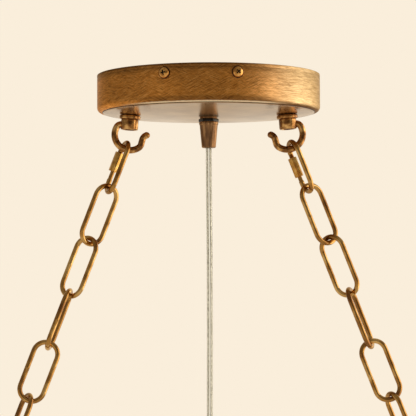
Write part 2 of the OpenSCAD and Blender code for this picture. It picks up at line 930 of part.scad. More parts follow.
// Radius of a bulb's glass, from its neck at t = 0 to its tip at t = 1
function glass_r(t) = max(neck_r * (1 - t), bulb_d / 2 * pow(sin(180 * pow(t, 0.85)), 0.9));

module bulb_glass() {
    steps = 20;
    inner_h = bulb_h - glass_wall;
    outside = [for (i = [0 : steps - 1]) let (t = i / steps) [glass_r(t), bulb_h * t]];
    inside = [for (i = [steps - 1 : -1 : 0]) let (t = i / steps) [glass_r(t) - glass_wall, inner_h * t]];
    color(glass_tint)
        for (x = light_xs)
            translate([x, 0, glass_z])
                rotate_extrude()
                    polygon(concat(outside, [[0, bulb_h], [0, inner_h]], inside));
}

module bulb_filaments() {
    post_h = 16;
    rod_h = bulb_h * 0.4;
    rod_at = 3.2;
    color(candle_white)
        for (x = light_xs)
            translate([x, 0, glass_z]) {
                cylinder(r1 = 4, r2 = 1.6, h = post_h);
                translate([0, 0, post_h - 1])
                    cylinder(r = rod_at + 1, h = 1.2);
                for (turn = [0 : 90 : 270])
                    rotate([0, 0, turn])
                        translate([rod_at, 0, post_h])
                            cylinder(r = 0.7, h = rod_h);
            }
}

mounting_bracket();
earth_screw();
canopy_pan();
side_screws();
terminal_block();
cord_end();
grip_nipple();
grip_lock_nut();
grip_hex_nut();
cord_grip();
hook_nipples();
hook_lock_nuts();
hub_rings();
hook_left();
hook_right();
quick_link_left();
sleeve_nut_left();
quick_link_right();
sleeve_nut_right();
link_left_1();
link_left_2();
link_left_3();
link_left_4();
link_left_5();
link_left_6();
links_left_middle();
links_left_lower();
links_left_last();
link_right_1();
link_right_2();
link_right_3();
link_right_4();
link_right_5();
link_right_6();
links_right_middle();
links_right_lower();
links_right_last();
low_quick_link_left();
low_sleeve_nut_left();
low_quick_link_right();
low_sleeve_nut_right();
cord();
eye_bolts();
eye_nuts();
spine();
long_rails();
end_rails();
corner_posts();
low_cord_grip();
light_stem();
light_bar();
drip_pans();
sockets();
candle_sleeves();
bulb_bases();
bulb_glass();
bulb_filaments();
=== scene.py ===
import math
from functools import partial
import bpy
from mathutils import Matrix, Vector


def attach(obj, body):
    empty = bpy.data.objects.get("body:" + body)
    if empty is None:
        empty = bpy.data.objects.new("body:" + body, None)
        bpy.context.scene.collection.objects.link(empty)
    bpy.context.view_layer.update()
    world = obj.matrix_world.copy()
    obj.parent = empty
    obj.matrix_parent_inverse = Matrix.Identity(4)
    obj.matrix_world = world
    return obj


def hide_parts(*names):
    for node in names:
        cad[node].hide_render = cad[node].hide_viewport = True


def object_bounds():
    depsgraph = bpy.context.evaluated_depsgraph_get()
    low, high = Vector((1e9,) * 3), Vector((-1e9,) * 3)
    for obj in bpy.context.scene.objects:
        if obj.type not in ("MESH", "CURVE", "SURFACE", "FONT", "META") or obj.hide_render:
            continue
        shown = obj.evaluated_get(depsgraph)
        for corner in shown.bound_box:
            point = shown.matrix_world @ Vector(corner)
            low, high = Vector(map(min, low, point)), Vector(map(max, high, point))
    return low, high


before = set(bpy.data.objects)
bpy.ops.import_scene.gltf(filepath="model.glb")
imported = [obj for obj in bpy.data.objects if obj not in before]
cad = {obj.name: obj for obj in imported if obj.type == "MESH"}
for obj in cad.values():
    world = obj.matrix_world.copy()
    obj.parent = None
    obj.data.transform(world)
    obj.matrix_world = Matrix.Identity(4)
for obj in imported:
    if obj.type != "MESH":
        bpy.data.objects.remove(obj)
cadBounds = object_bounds()
scene = bpy.context.scene
print("frame loaded,", len(cad), "nodes")


# Helpers for materials

def toLinear(hexColour):  # sRGB hex to the linear values Blender works in
    parts = [int(hexColour[i:i + 2], 16) / 255 for i in (1, 3, 5)]
    return [p / 12.92 if p <= 0.04045 else ((p + 0.055) / 1.055) ** 2.4 for p in parts] + [1.0]


def addNode(tree, kind, inputs=(), settings=None, stops=()):
    # inputs go by name or in order, a node stands for its first output, settings can be just the operation
    node = tree.nodes.new("ShaderNode" + kind)
    if isinstance(settings, str):
        settings = {"operation": settings}
    for name, value in (settings or {}).items():
        setattr(node, name, value)
    for socket, value in inputs.items() if isinstance(inputs, dict) else enumerate(inputs):
        if isinstance(value, bpy.types.Node):
            value = value.outputs[0]
        if isinstance(value, bpy.types.NodeSocket):
            tree.links.new(value, node.inputs[socket])
        else:
            node.inputs[socket].default_value = value
    for i, (position, colour) in enumerate(stops):  # the colours of a ramp
        elements = node.color_ramp.elements
        element = elements[i] if i < len(elements) else elements.new(position)
        element.position = position
        element.color = toLinear(colour)
    return node


smooth = {"interpolation_type": "SMOOTHSTEP"}


def emptyTree(owner):  # gives addNode for the nodes of this material or world
    owner.use_nodes = True
    owner.node_tree.nodes.clear()
    return partial(addNode, owner.node_tree)


def newMaterial(name):
    material = bpy.data.materials.new(name)
    add = emptyTree(material)
    return material, add, add("TexCoord").outputs["Object"]


def perMetre(millimetres):  # noise scale whose features are this many millimetres apart
    return 1000 / millimetres


def dress(piece, *materials):
    piece.data.materials.clear()
    for material in materials:
        piece.data.materials.append(material)


# Helpers for shapes: profiles, routes and places are in millimetres

def metres(point):
    return Vector(point) * 0.001


def shift(x, y, z):
    return Matrix.Translation(metres((x, y, z)))


def turnBy(degrees, axis="Z"):
    return Matrix.Rotation(math.radians(degrees), 4, axis)


def pick(settings, names):
    return [settings[name] for name in names.split()]


def selectOnly(*pieces):
    bpy.ops.object.select_all(action="DESELECT")
    for piece in pieces:
        piece.select_set(True)
    bpy.context.view_layer.objects.active = pieces[0]


def newPiece(name, kind, **settings):
    getattr(bpy.ops.mesh, f"primitive_{kind}_add")(**settings)
    piece = bpy.context.active_object
    piece.name = name
    return piece


def toMode(mode):
    bpy.ops.object.mode_set(mode=mode)


def extrudeBy(step):
    bpy.ops.mesh.extrude_region_move(TRANSFORM_OT_translate={"value": step})


def modify(piece, kind, **settings):
    selectOnly(piece)
    modifier = piece.modifiers.new(kind.lower(), kind)
    for name, value in settings.items():
        setattr(modifier, name, value)
    bpy.ops.object.modifier_apply(modifier=modifier.name)


def combine(piece, tool, operation="DIFFERENCE"):  # uses the tool up
    modify(piece, "BOOLEAN", object=tool, operation=operation, solver="EXACT")
    bpy.data.objects.remove(tool)


def soften(piece, width, overAngle, segments=2):
    modify(piece, "BEVEL", width=width * 0.001, segments=segments, limit_method="ANGLE",
           angle_limit=math.radians(overAngle))


def tidyMesh(piece, smoothAngle):  # merges the seams, turns the faces outwards and smooths them
    selectOnly(piece)
    toMode("EDIT")
    bpy.ops.mesh.select_all(action="SELECT")
    bpy.ops.mesh.remove_doubles(threshold=0.000004)
    bpy.ops.mesh.normals_make_consistent(inside=False)
    toMode("OBJECT")
    bpy.ops.object.shade_smooth_by_angle(angle=math.radians(smoothAngle))


def turned(name, profile, steps=64, base=0.0, edge=0.0, smoothAngle=40):
    # the profile is radius and height above the base, spun round; it closes unless it starts on the axis
    points = [(radius, base + height) for radius, height in profile]
    piece = newPiece(name, "plane", size=0.01)
    toMode("EDIT")
    bpy.ops.mesh.select_mode(type="VERT")
    bpy.ops.mesh.merge(type="CENTER")
    bpy.ops.transform.translate(value=metres((points[0][0], 0, points[0][1])))
    if points[0][0] > 0:
        points.append(points[0])
    for before, after in zip(points, points[1:]):
        extrudeBy(metres((after[0] - before[0], 0, after[1] - before[1])))
    bpy.ops.mesh.select_all(action="SELECT")
    bpy.ops.mesh.spin(steps=steps, angle=math.tau, center=(0, 0, 0), axis=(0, 0, 1))
    toMode("OBJECT")
    tidyMesh(piece, smoothAngle)
    if edge:
        soften(piece, edge, 28, 3)
        tidyMesh(piece, smoothAngle)
    return piece


def drawnWire(name, wire, start, lean, moves, sides=24, closed=False):
    # a ring of the wire's size is extruded along runs and spun round bends in the XZ plane; lean 90 starts it along X
    piece = newPiece(name, "circle", vertices=sides, radius=wire / 2000,
                     fill_type="NOTHING" if closed else "NGON")
    toMode("EDIT")
    bpy.ops.transform.rotate(value=math.radians(lean), orient_axis="Y", center_override=(0, 0, 0))
    bpy.ops.transform.translate(value=metres(start))
    here = metres(start)
    for kind, size, *more in moves:
        if kind == "bend":  # round a centre, by degrees, in steps
            centre, (angle, steps) = metres(size), more
            bpy.ops.mesh.spin(steps=steps, angle=math.radians(angle), center=centre, axis=(0, 1, 0))
            here = centre + Matrix.Rotation(math.radians(-angle), 3, "Y") @ (here - centre)
            continue
        parts = more[0] if kind == "run" else 1
        for i in range(parts):
            extrudeBy(metres(size) / parts)
        here = here + metres(size)
        if kind == "step":  # with a change of thickness at its end
            bpy.ops.transform.resize(value=(more[0], more[0], more[0]), center_override=here)
    toMode("OBJECT")
    tidyMesh(piece, 60)
    return piece


def copyOf(piece, place):  # the same shape at another place, with its own mesh
    copy = piece.copy()
    copy.data = piece.data.copy()
    copy.data.transform(place)
    scene.collection.objects.link(copy)
    return copy


def copiesOf(piece, places):  # these take the place of the piece itself
    copies = [copyOf(piece, place) for place in places]
    bpy.data.objects.remove(piece)
    return copies


def joined(name, pieces):
    selectOnly(*pieces)
    if len(pieces) > 1:
        bpy.ops.object.join()
    pieces[0].name = name
    return pieces[0]


def settle(piece, body, node, slot, *materials):  # a finished piece takes the place of its CAD node
    if materials:
        dress(piece, *materials)
    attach(piece, body)
    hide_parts(node)


# Camera: the photo looks along +Y, a little up from below the canopy, through a long lens

camera = {
    "place": (-0.0007, -1.5, -0.1744), "pitchDeg": 3.244, "rollDeg": -0.248, "lens": 193.5, "sensor": 36.0,
    "clip": (0.1, 200),
}


def makeCamera():
    data = bpy.data.cameras.new("photoCamera")
    data.lens = camera["lens"]
    data.sensor_width = camera["sensor"]
    data.clip_start, data.clip_end = camera["clip"]
    piece = bpy.data.objects.new("photoCamera", data)
    scene.collection.objects.link(piece)
    piece.matrix_world = (Matrix.Translation(camera["place"]) @ turnBy(90 + camera["pitchDeg"], "X")
                          @ turnBy(camera["rollDeg"]))
    scene.camera = piece


makeCamera()


# Cord: clear flat twin flex, straight down from the grip to the frame, and its tail up into the terminal block

cord = {
    "width": 4.0, "depth": 2.1,
    "waist": 0.62,  # how thin it is between the two cores
    "waistCurve": 1.2, "sides": 28, "conductor": 1.0, "conductorSides": 10, "spacing": 1.9,
    "piece": 16,  # longest straight piece of the mesh
    "route": [(0, 0, -49.5), (0, 0, -75), (0.3, 0, -120), (0.2, 0, -180), (-0.2, 0, -250),
              (-0.2, 0, -330), (0.1, 0, -410), (0, 0, -470), (0, 0, -527)],
    "tail": [(0, 0, -49.6), (0, 0, -36), (0, 0, -24), (0, 0.4, -17), (0, 2, -12), (0, 4, -9.1),
             (0, 6, -7.5), (0, 7.85, -7.5)],
}


def pulledAlong(name, route, sides, width, depth, waist, offset):
    # a ring is shaped, then pulled along the route and turned with it in the YZ plane
    piece = newPiece(name, "circle", vertices=sides, radius=depth / 2000, fill_type="NGON")
    for vertex in piece.data.vertices:
        vertex.co.x *= width / depth
        middle = max(0, 1 - abs(vertex.co.x) / (width / 4000)) ** cord["waistCurve"]
        vertex.co.y *= 1 - (1 - waist) * middle
        vertex.co.x += offset / 1000
    toMode("EDIT")
    bpy.ops.transform.translate(value=metres(route[0]))
    steps = [Vector(after) - Vector(before) for before, after in zip(route, route[1:])]
    headings = [math.atan2(step.y, step.z) for step in steps]
    lean = headings[0]
    for i, step in enumerate(steps):
        parts = max(1, round(step.length / cord["piece"]))
        for part in range(parts):
            extrudeBy(metres(step / parts))
        turn = (headings[i] + headings[min(i + 1, len(steps) - 1)]) / 2 - lean
        if abs(turn) > 0.001:
            bpy.ops.transform.rotate(value=turn, orient_axis="X", center_override=metres(route[i + 1]))
            lean += turn
    toMode("OBJECT")
    tidyMesh(piece, 50)
    return piece


def makeFlex(jacketName, conductorName, route, body):
    jacket = pulledAlong(jacketName, route, cord["sides"], cord["width"], cord["depth"], cord["waist"], 0)
    conductors = joined(conductorName, [
        pulledAlong("wire", route, cord["conductorSides"], cord["conductor"], cord["conductor"], 1, offset)
        for offset in (-cord["spacing"] / 2, cord["spacing"] / 2)])
    for piece in (jacket, conductors):
        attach(piece, body)
    return jacket, conductors


def makeCord():
    route = cord["route"]
    jacket, conductors = makeFlex("cordJacket", "cordConductors", route, "cord")
    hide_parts("cord")
    return jacket, conductors


cordJacket, cordConductors = makeCord()
cordTail, tailConductors = makeFlex("cordTail", "tailConductors", cord["tail"], "canopy")
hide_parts("cord_end")
print("cord made")


# Studio: pale floor and room with one broad soft light on the right, so that metal is bright on that side

studio = {
    "wall": "#faeedb", "roomLight": "#fff6ea", "roomStrength": 0.46,
    "window": (0.45, 0.89, 0.0),  # the side where metal mirrors a bright room
    "windowGlow": (0.2, 0.95, 0.38, 1.0),
    "door": (0.2, -0.98, 0.0),  # and a darker doorway
    "doorShade": (0.82, 0.98, 1.0, 0.58), "keyPlace": (1.6, 0.2, -0.1), "keyTarget": (0, 0, -0.1),
    "keySize": (2.2, 2.0), "keyPower": 27, "keyColour": "#fff2df", "floor": "#f3ebdf", "floorRough": 0.9,
    "floorLift": 0.36,  # seen by the camera and in metal, the paint is as pale as the wall
    "floorDrop": 1.5, "floorSize": 60.0,
}


def makeWorld():
    scene.world = bpy.data.worlds.new("paleRoom")
    add = emptyTree(scene.world)
    path = add("LightPath").outputs
    direction = add("TexCoord").outputs["Generated"]
    wall = toLinear(studio["wall"])
    lit = add("Background", [toLinear(studio["roomLight"]), studio["roomStrength"]])
    seen = add("Background", [wall, 1.0])
    towards = add("VectorMath", [direction, studio["window"]], "DOT_PRODUCT")
    glow = add("MapRange", [towards.outputs["Value"], *studio["windowGlow"]], smooth)
    doorway = add("VectorMath", [direction, studio["door"]], "DOT_PRODUCT")
    dark = add("MapRange", [doorway.outputs["Value"], *studio["doorShade"]], smooth)
    strength = add("Math", [glow, dark], "MULTIPLY")
    mirrored = add("Background", [wall, strength])
    clear = add("Math", [path["Is Camera Ray"], path["Is Transmission Ray"]], "MAXIMUM")
    inMetal = add("MixShader", [path["Is Glossy Ray"], lit, mirrored])
    add("OutputWorld", [add("MixShader", [clear, inMetal, seen])])


def makeKeyLight():
    data = bpy.data.lights.new("keyRight", "AREA")
    data.shape = "RECTANGLE"
    data.size, data.size_y = studio["keySize"]
    data.energy = studio["keyPower"]
    data.color = toLinear(studio["keyColour"])[:3]
    piece = bpy.data.objects.new("keyRight", data)
    scene.collection.objects.link(piece)
    piece.location = studio["keyPlace"]
    towards = Vector(studio["keyTarget"]) - Vector(studio["keyPlace"])
    piece.rotation_euler = towards.to_track_quat("-Z", "Y").to_euler()
    piece.visible_camera = False


def makeFloor():
    floor = newPiece("floor", "circle", vertices=96, radius=studio["floorSize"] / 2,
                     fill_type="NGON", location=(0, 0, cadBounds[0].z - studio["floorDrop"]))
    material, add, _ = newMaterial("matt pale floor paint")
    path = add("LightPath").outputs
    shown = add("Math", [path["Is Camera Ray"], path["Is Glossy Ray"]], "MAXIMUM")
    lift = add("Math", [shown, studio["floorLift"]], "MULTIPLY")
    paint = toLinear(studio["floor"])
    add("OutputMaterial", [add("BsdfPrincipled", {
        "Base Color": paint, "Roughness": studio["floorRough"], "Emission Color": paint, "Emission Strength": lift})])
    dress(floor, material)


makeWorld()
makeKeyLight()
makeFloor()
scene.view_settings.view_transform = "Standard"
print("studio made")


# Antique gold lacquer on spun steel: brown patina brushed by hand, fine crossing scratches that show the gold under it

brushedSteel = {
    "strokes": [(0, 0.3, 10.0), (24, 0.3, 6.5), (-28, 0.3, 6.5)],  # turn in degrees, width and length in millimetres
    "scratches": [(31, 0.8, 8.0), (-20, 0.8, 9.0)],
    "scratchTone": (0.0, 0.035, 0.72, 1.03),  # dark on the line where the noise crosses its middle
    "sway": 20.0,  # millimetres over which the hand turns, and metres that it strays
    "stray": (0.002, 0.002, 0.0018), "patch": 12.0, "patchEdge": (0.42, 0.58),
    "tones": [(0.39, "#905a20"), (0.5, "#d08a3a"), (0.62, "#f0b062")],
    # the pale tones are the colours of a painted highlight on the right side
    "paleTones": [(0.39, "#967b54"), (0.5, "#b29a73"), (0.62, "#c9b28c")],
    "clouds": 30.0, "cloudTone": (0.35, 0.65, 0.88, 1.12),
    "crossed": (0.02, 0.055, 0.8, 0.12),  # the bands are metres along x or z, then the values at their two ends
    # the bands from here on paint light and shade: a paler, brighter right side as a painted highlight, painted shade
    # under the top rim and above the bend with a painted highlight at the bend's ends, and a painted highlight along
    # the low edge with painted shade at its right end
    "pale": (0.014, 0.066), "highlightGain": (0.004, 0.03, 1.0, 1.08), "rimSide": (0.02, 0.055, 0.32, 0.92),
    "rim": (-0.0065, -0.0005), "bendSide": (0.03, 0.06, 0.36, 1.2), "bend": (-0.0235, -0.0195),
    "lipBand": (-0.0239, -0.0232, 1.0, 0.0), "ragged": 0.0016, "lipHighlightSpan": (0.035, 0.062, 1.0, 0.0),
    "shadedEnd": (0.04, 0.058), "lipHighlight": "#f2e2c4", "patina": "#6e4418", "rough": (0.35, 0.65, 0.47, 0.36),
    "tint": "#ecd4b4",
}


def makeBrushedSteel(name):
    look = brushedSteel
    material, add, where = newMaterial(name)
    x, _, z = add("SeparateXYZ", [where]).outputs
    hand = add("TexNoise", {"Vector": where, "Scale": perMetre(look["sway"]), "Detail": 2.0})
    swayed = add("VectorMath", [hand.outputs["Color"], look["stray"], where], "MULTIPLY_ADD")

    def brushedOver(turn, width, length, start, detail, roughness):
        laid = add("Mapping", {
            "Vector": swayed, "Location": (start, 0, 0), "Rotation": (0, math.radians(turn), 0),
            "Scale": (length / 1000, length / 1000, width / 1000)}, {"vector_type": "TEXTURE"})
        return add("TexNoise", {
            "Vector": laid, "Scale": 1.0, "Detail": detail, "Roughness": roughness})

    level, rising, falling = [brushedOver(*stroke, 0, 4.0, 0.65) for stroke in look["strokes"]]
    patches = add("TexNoise", {"Vector": where, "Scale": perMetre(look["patch"]), "Detail": 2.0})
    which = add("MapRange", [patches, *look["patchEdge"]], smooth)
    crossing = add("MixRGB", [which, rising, falling])
    crossed = add("MapRange", [x, *look["crossed"]], smooth)
    brush = add("MixRGB", [crossed, level, crossing])

    # brown gold on the left, paler and brighter to the right: a painted highlight on the side that faces the key light
    tone = add("ValToRGB", [brush], stops=look["tones"])
    paleTone = add("ValToRGB", [brush], stops=look["paleTones"])
    highlightGain = add("MapRange", [x, *look["highlightGain"]], smooth)
    brightenedTone = add("VectorMath", {0: tone, "Scale": highlightGain}, "SCALE")
    pale = add("MapRange", [x, *look["pale"]], smooth)
    gold = add("MixRGB", [pale, brightenedTone, paleTone])
    for turn, width, length in look["scratches"]:
        wave = brushedOver(turn, width, length, turn / 1000, 2.0, 0.5)
        middle = add("Math", [wave, 0.5], "SUBTRACT")
        line = add("Math", [middle], "ABSOLUTE")
        scratch = add("MapRange", [line, *look["scratchTone"]], smooth)
        gold = add("VectorMath", {0: gold, "Scale": scratch}, "SCALE")

    # painted shade under the top rim, lighter towards the lit right; above the bend painted shade in the middle and a
    # painted highlight at the ends; and darker in soft random clouds
    clouds = add("TexNoise", {"Vector": where, "Scale": perMetre(look["clouds"]), "Detail": 2.0})
    cloudShade = add("MapRange", [clouds, *look["cloudTone"]])
    rimSide = add("MapRange", [x, *look["rimSide"]], smooth)
    rimShade = add("MapRange", [z, *look["rim"], 1.0, rimSide], smooth)
    off = add("Math", [x], "ABSOLUTE")
    bendSide = add("MapRange", [off, *look["bendSide"]], smooth)
    bendShadeAndHighlight = add("MapRange", [z, *look["bend"], bendSide, 1.0], smooth)
    shade = add("Math", [rimShade, bendShadeAndHighlight], "MULTIPLY")
    shade = add("Math", [cloudShade, shade], "MULTIPLY")
    shaded = add("VectorMath", {0: gold, "Scale": shade}, "SCALE")

    # a painted highlight along the low edge of the bend, fading towards both ends, and painted shade in dark brown on
    # that edge at the right end
    ragged = add("Math", [brush, look["ragged"], z], "MULTIPLY_ADD")
    low = add("MapRange", [ragged, *look["lipBand"]], smooth)
    highlightSpan = add("MapRange", [off, *look["lipHighlightSpan"]], smooth)
    shadedEnd = add("MapRange", [x, *look["shadedEnd"]], smooth)
    lipHighlight = add("Math", [low, highlightSpan], "MULTIPLY")
    brown = add("Math", [low, shadedEnd], "MULTIPLY")
    highlighted = add("MixRGB", [lipHighlight, shaded, toLinear(look["lipHighlight"])])
    colour = add("MixRGB", [brown, highlighted, toLinear(look["patina"])])
    roughness = add("MapRange", [brush, *look["rough"]])
    bump = add("Bump", {"Height": brush, "Strength": 0.1, "Distance": 0.00008})
    add("OutputMaterial", [add("BsdfPrincipled", {
        "Base Color": colour, "Metallic": 0.93, "Roughness": roughness, "Normal": bump,
        "Specular Tint": toLinear(look["tint"]), "Coat Weight": 0.1, "Coat Roughness": 0.25})])
    return material


# The same lacquer on the bottom of the pan, left smooth: at a low angle it mirrors the room, dulled a little

smoothSteel = {
    "tones": [(0.35, "#977243"), (0.65, "#b99562")],
    "clouds": 22.0, "grain": 1.6,
    "rough": (0.008, 0.026, 0.285, 0.235),  # duller in the middle, round the cord grip
    "cloudGloss": -0.06, "tint": "#fffaf0",
}


def makeSmoothSteel(name):
    look = smoothSteel
    material, add, where = newMaterial(name)
    clouds = add("TexNoise", {"Vector": where, "Scale": perMetre(look["clouds"]), "Detail": 3.0})
    grain = add("TexNoise", {"Vector": where, "Scale": perMetre(look["grain"]), "Detail": 2.0})
    tone = add("ValToRGB", [clouds], stops=look["tones"])
    parts = add("SeparateXYZ", [where])
    off = add("Math", [parts], "ABSOLUTE")
    dull = add("MapRange", [off, *look["rough"]], smooth)
    roughness = add("Math", [clouds, look["cloudGloss"], dull], "MULTIPLY_ADD")
    bump = add("Bump", {"Height": grain, "Strength": 0.05, "Distance": 0.00006})
    add("OutputMaterial", [add("BsdfPrincipled", {
        "Base Color": tone, "Metallic": 0.95, "Roughness": roughness, "Normal": bump,
        "Specular Tint": toLinear(look["tint"]), "Coat Weight": 0.4, "Coat Roughness": 0.21})])
    return material


# Antique gold lacquer on wire, castings and tube: clear warm gold, brown rubbed into it in soft blotches

rubbedGold = {  # dark, middle and light, blotch and grain in millimetres, share of the grain, roughness, tint
    "wire": ("#7c5020", "#ac7f3c", "#d4ae6c", 13.0, 0.9, 0.05, 0.12, "#fff0dc"),
    "casting": ("#5c350f", "#9b6b33", "#dcae6c", 4.0, 0.9, 0.12, 0.15, "#fff0dc"),
    "nut": ("#a27030", "#c69444", "#e4b86c", 5.0, 0.9, 0.05, 0.2, "#fff0dc"),
    "screw": ("#a06a2c", "#cc9448", "#e6b46c", 2.0, 0.6, 0.1, 0.18, "#fff0dc"),
    "grip": ("#54381f", "#8a643e", "#b28a5c", 3.0, 0.9, 0.2, 0.26, "#e8d4b8"),
    "patina": ("#2b1a0b", "#3f2812", "#5a3a1c", 2.0, 0.6, 0.3, 0.5, "#7a5a38"),
    "tube": ("#94693a", "#a97f4a", "#b88f59", 16.0, 0.7, 0.16, 0.2, "#fff0dc"),
}
along = 0.3  # the blotches on tube are this much longer than wide, the ones wiped down the grip longer still
wiped = 0.18


def makeRubbedGold(name, kind, stretch=(1.0, 1.0, 1.0)):
    dark, middle, light, blotch, speck, share, rough, tint = rubbedGold[kind]
    material, add, where = newMaterial(name)
    laid = add("Mapping", {"Vector": where, "Scale": stretch})
    blotches = add("TexNoise", {
        "Vector": laid, "Scale": perMetre(blotch), "Detail": 3.0, "Roughness": 0.55})
    grain = add("TexNoise", {
        "Vector": laid, "Scale": perMetre(speck), "Detail": 2.0, "Roughness": 0.6})
    both = add("MixRGB", [share, blotches, grain])
    tone = add("ValToRGB", [both], stops=[(0.34, dark), (0.5, middle), (0.66, light)])
    roughness = add("MapRange", [both, 0.38, 0.62, rough + 0.09, rough - 0.03])
    bump = add("Bump", {"Height": both, "Strength": 0.08, "Distance": 0.0001})
    add("OutputMaterial", [add("BsdfPrincipled", {
        "Base Color": tone, "Metallic": 0.95, "Roughness": roughness, "Normal": bump,
        "Specular Tint": toLinear(tint), "Coat Weight": 0.3, "Coat Roughness": 0.1})])
    return material


canopySide = makeBrushedSteel("antique gold lacquer, hand brushed")
canopyBottom = makeSmoothSteel("antique gold lacquer, smooth")
wireGold = makeRubbedGold("antique gold lacquer on drawn wire", "wire")
castGold = makeRubbedGold("antique gold lacquer on castings", "casting")
nutGold = makeRubbedGold("antique gold lacquer on sleeve nuts", "nut")
screwGold = makeRubbedGold("antique gold lacquer on screw heads", "screw")
antiqueBrownAndShadow = makeRubbedGold("brown patina left in the recesses", "patina")
gripGold = makeRubbedGold("antique gold lacquer, wiped down the grip", "grip", (1.0, 1.0, wiped))
tubeGoldX = makeRubbedGold("antique gold lacquer on tube along x", "tube", (along, 1.0, 1.0))
tubeGoldY = makeRubbedGold("antique gold lacquer on tube along y", "tube", (1.0, along, 1.0))
tubeGoldZ = makeRubbedGold("antique gold lacquer on tube along z", "tube", (1.0, 1.0, along))


# Smaller finishes: plating shows faint cloudy spots, porcelain and styrene are nearly even

finishes = {  # darkest and lightest colour, metallic, roughness, spots in millimetres
    "zinc plated steel": ("#8f9192", "#c3c4c0", 1.0, 0.32, 6.0),
    "green passivated steel": ("#2c5a2e", "#4d8a46", 0.8, 0.35, 2.0),
    "black oxide steel": ("#100e0c", "#2a2825", 0.7, 0.24, 1.5),
    "glazed porcelain": ("#ddd8ca", "#ebe7da", 0.0, 0.16, 8.0),
    "ivory styrene sleeve": ("#e6d8b6", "#f0e4c8", 0.0, 0.42, 12.0),
    "nickel plated brass": ("#a8a49a", "#d4cfc2", 1.0, 0.2, 3.0),
    "yellow phosphor resin": ("#d9a63c", "#f0c65a", 0.0, 0.45, 1.0),
    "tinned copper strand": ("#b7b4a6", "#ebe8dc", 0.85, 0.35, 1.2),
}


def makeFinish(name, dark, light, metallic, rough, spot):
    material, add, where = newMaterial(name)
    spots = add("TexNoise", {
        "Vector": where, "Scale": perMetre(spot), "Detail": 4.0, "Roughness": 0.6})
    tone = add("ValToRGB", [spots], stops=[(0.36, dark), (0.64, light)])
    roughness = add("MapRange", [spots, 0.35, 0.65, rough + 0.08, rough - 0.04])
    bump = add("Bump", {"Height": spots, "Strength": 0.12, "Distance": 0.0001})
    add("OutputMaterial", [add("BsdfPrincipled", {
        "Base Color": tone, "Metallic": metallic, "Roughness": roughness, "Normal": bump})])
    return material


zinc, passivated, blackened, porcelain, candle, nickel, phosphor, copper = [
    makeFinish(name, *look) for name, look in finishes.items()]


def makeClear(name, colour, ior, rough, wave):  # a clear skin, a little uneven, so that it glints in streaks
    material, add, where = newMaterial(name)
    uneven = add("TexNoise", {"Vector": where, "Scale": perMetre(wave), "Detail": 2.0})
    bump = add("Bump", {"Height": uneven, "Strength": 0.15, "Distance": 0.0002})
    add("OutputMaterial", [add("BsdfPrincipled", {
        "Base Color": toLinear(colour), "IOR": ior, "Roughness": rough, "Transmission Weight": 1.0, "Normal": bump})])
    return material


clearPvc = makeClear("clear soft pvc", "#f5f7f4", 1.53, 0.12, 14.0)
lampGlass = makeClear("blown soda glass", "#fbf8ef", 1.52, 0.02, 22.0)
for jacket in (cordJacket, cordTail):
    dress(jacket, clearPvc)
for conductors in (cordConductors, tailConductors):
    dress(conductors, copper)
print("materials made")


# Canopy pan: spun steel, straight side, soft bend, bottom crowned a little

canopy = {
    "radius": 75.0, "height": 25.0, "wall": 1.2, "bend": 3.0, "crown": 3.5,
    "step": 0.32,  # pressed round the bottom
    "gripHole": 5.25, "hookOffset": 52.8, "hubTilt": 4.078,
    "screws": [-22.3, 14.5, 157.7, 194.5],
    "screwDrop": 6.0,
}


def crownHeight(radius):
    return -canopy["height"] - canopy["crown"] * (1 - (radius / (canopy["radius"] - canopy["bend"])) ** 2)


def arcPoints(x, z, radius, start, end, steps):
    angles = [math.radians(start + (end - start) * i / steps) for i in range(steps + 1)]
    return [(x + radius * math.cos(a), z + radius * math.sin(a)) for a in angles]


def makeCanopyPan():
    r, bend, wall, height, hole = pick(canopy, "radius bend wall height gripHole")
    flatR, bendZ = r - bend, bend - height
    outside = [(r - 0.35, 0), (r - 0.1, -0.1), (r, -0.35), (r, -1.7), (r - 0.28, -2.0), (r - 0.28, -2.3), (r, -2.7)]
    outside += arcPoints(flatR, bendZ, bend, 0, -90, 14)
    outside += [(flatR - 0.45, -height), (flatR - 0.5, -height - 0.1)]
    for i in range(24):  # the pressed step, then the crown
        radius = (flatR - 0.8) * (1 - i / 24)
        if radius > hole + 0.75:
            outside.append((radius, crownHeight(radius) - canopy["step"] * max(0, 1 - i / 4)))
    outside.append((hole, crownHeight(hole)))
    inside = [(hole, crownHeight(hole) + wall)]
    inside += [(flatR * i / 12, crownHeight(flatR * i / 12) + wall) for i in range(1, 12)]
    inside += arcPoints(flatR, bendZ, bend - wall, -90, 0, 6) + [(r - wall, 0)]
    pan = turned("canopyPan", outside + inside, steps=144, smoothAngle=50)
    dress(pan, canopySide, canopyBottom, antiqueBrownAndShadow)
    for face in pan.data.polygons:
        across = math.hypot(face.center.x, face.center.y) * 1000
        below = face.center.z * 1000 < -height + 0.1
        if below and face.normal.z < -0.5 and across < flatR - 0.3:
            face.material_index = 1
        if below and flatR - 1.1 < across < flatR - 0.3:
            face.material_index = 2  # patina left in the pressed step
        if across < r - wall + 0.05 and face.normal.dot(face.center) < 0 and face.center.z * 1000 < -0.1:
            face.material_index = 1  # the inside is left as it was sprayed
    settle(pan, "canopy", "canopy_pan", "antique_gold")


makeCanopyPan()


# Side screws: pan heads with a cross recess

sideScrew = {
    "headRadius": 3.5, "headHeight": 2.6, "shank": 1.95, "shankLength": 6.0, "pitch": 0.45, "recess": 4.6,
    "slot": 1.05, "recessTaper": (0.6, 0.8, 1), "recessUp": 0.25,
    "turns": (12, 31),  # no two screws stopped at the same angle
}


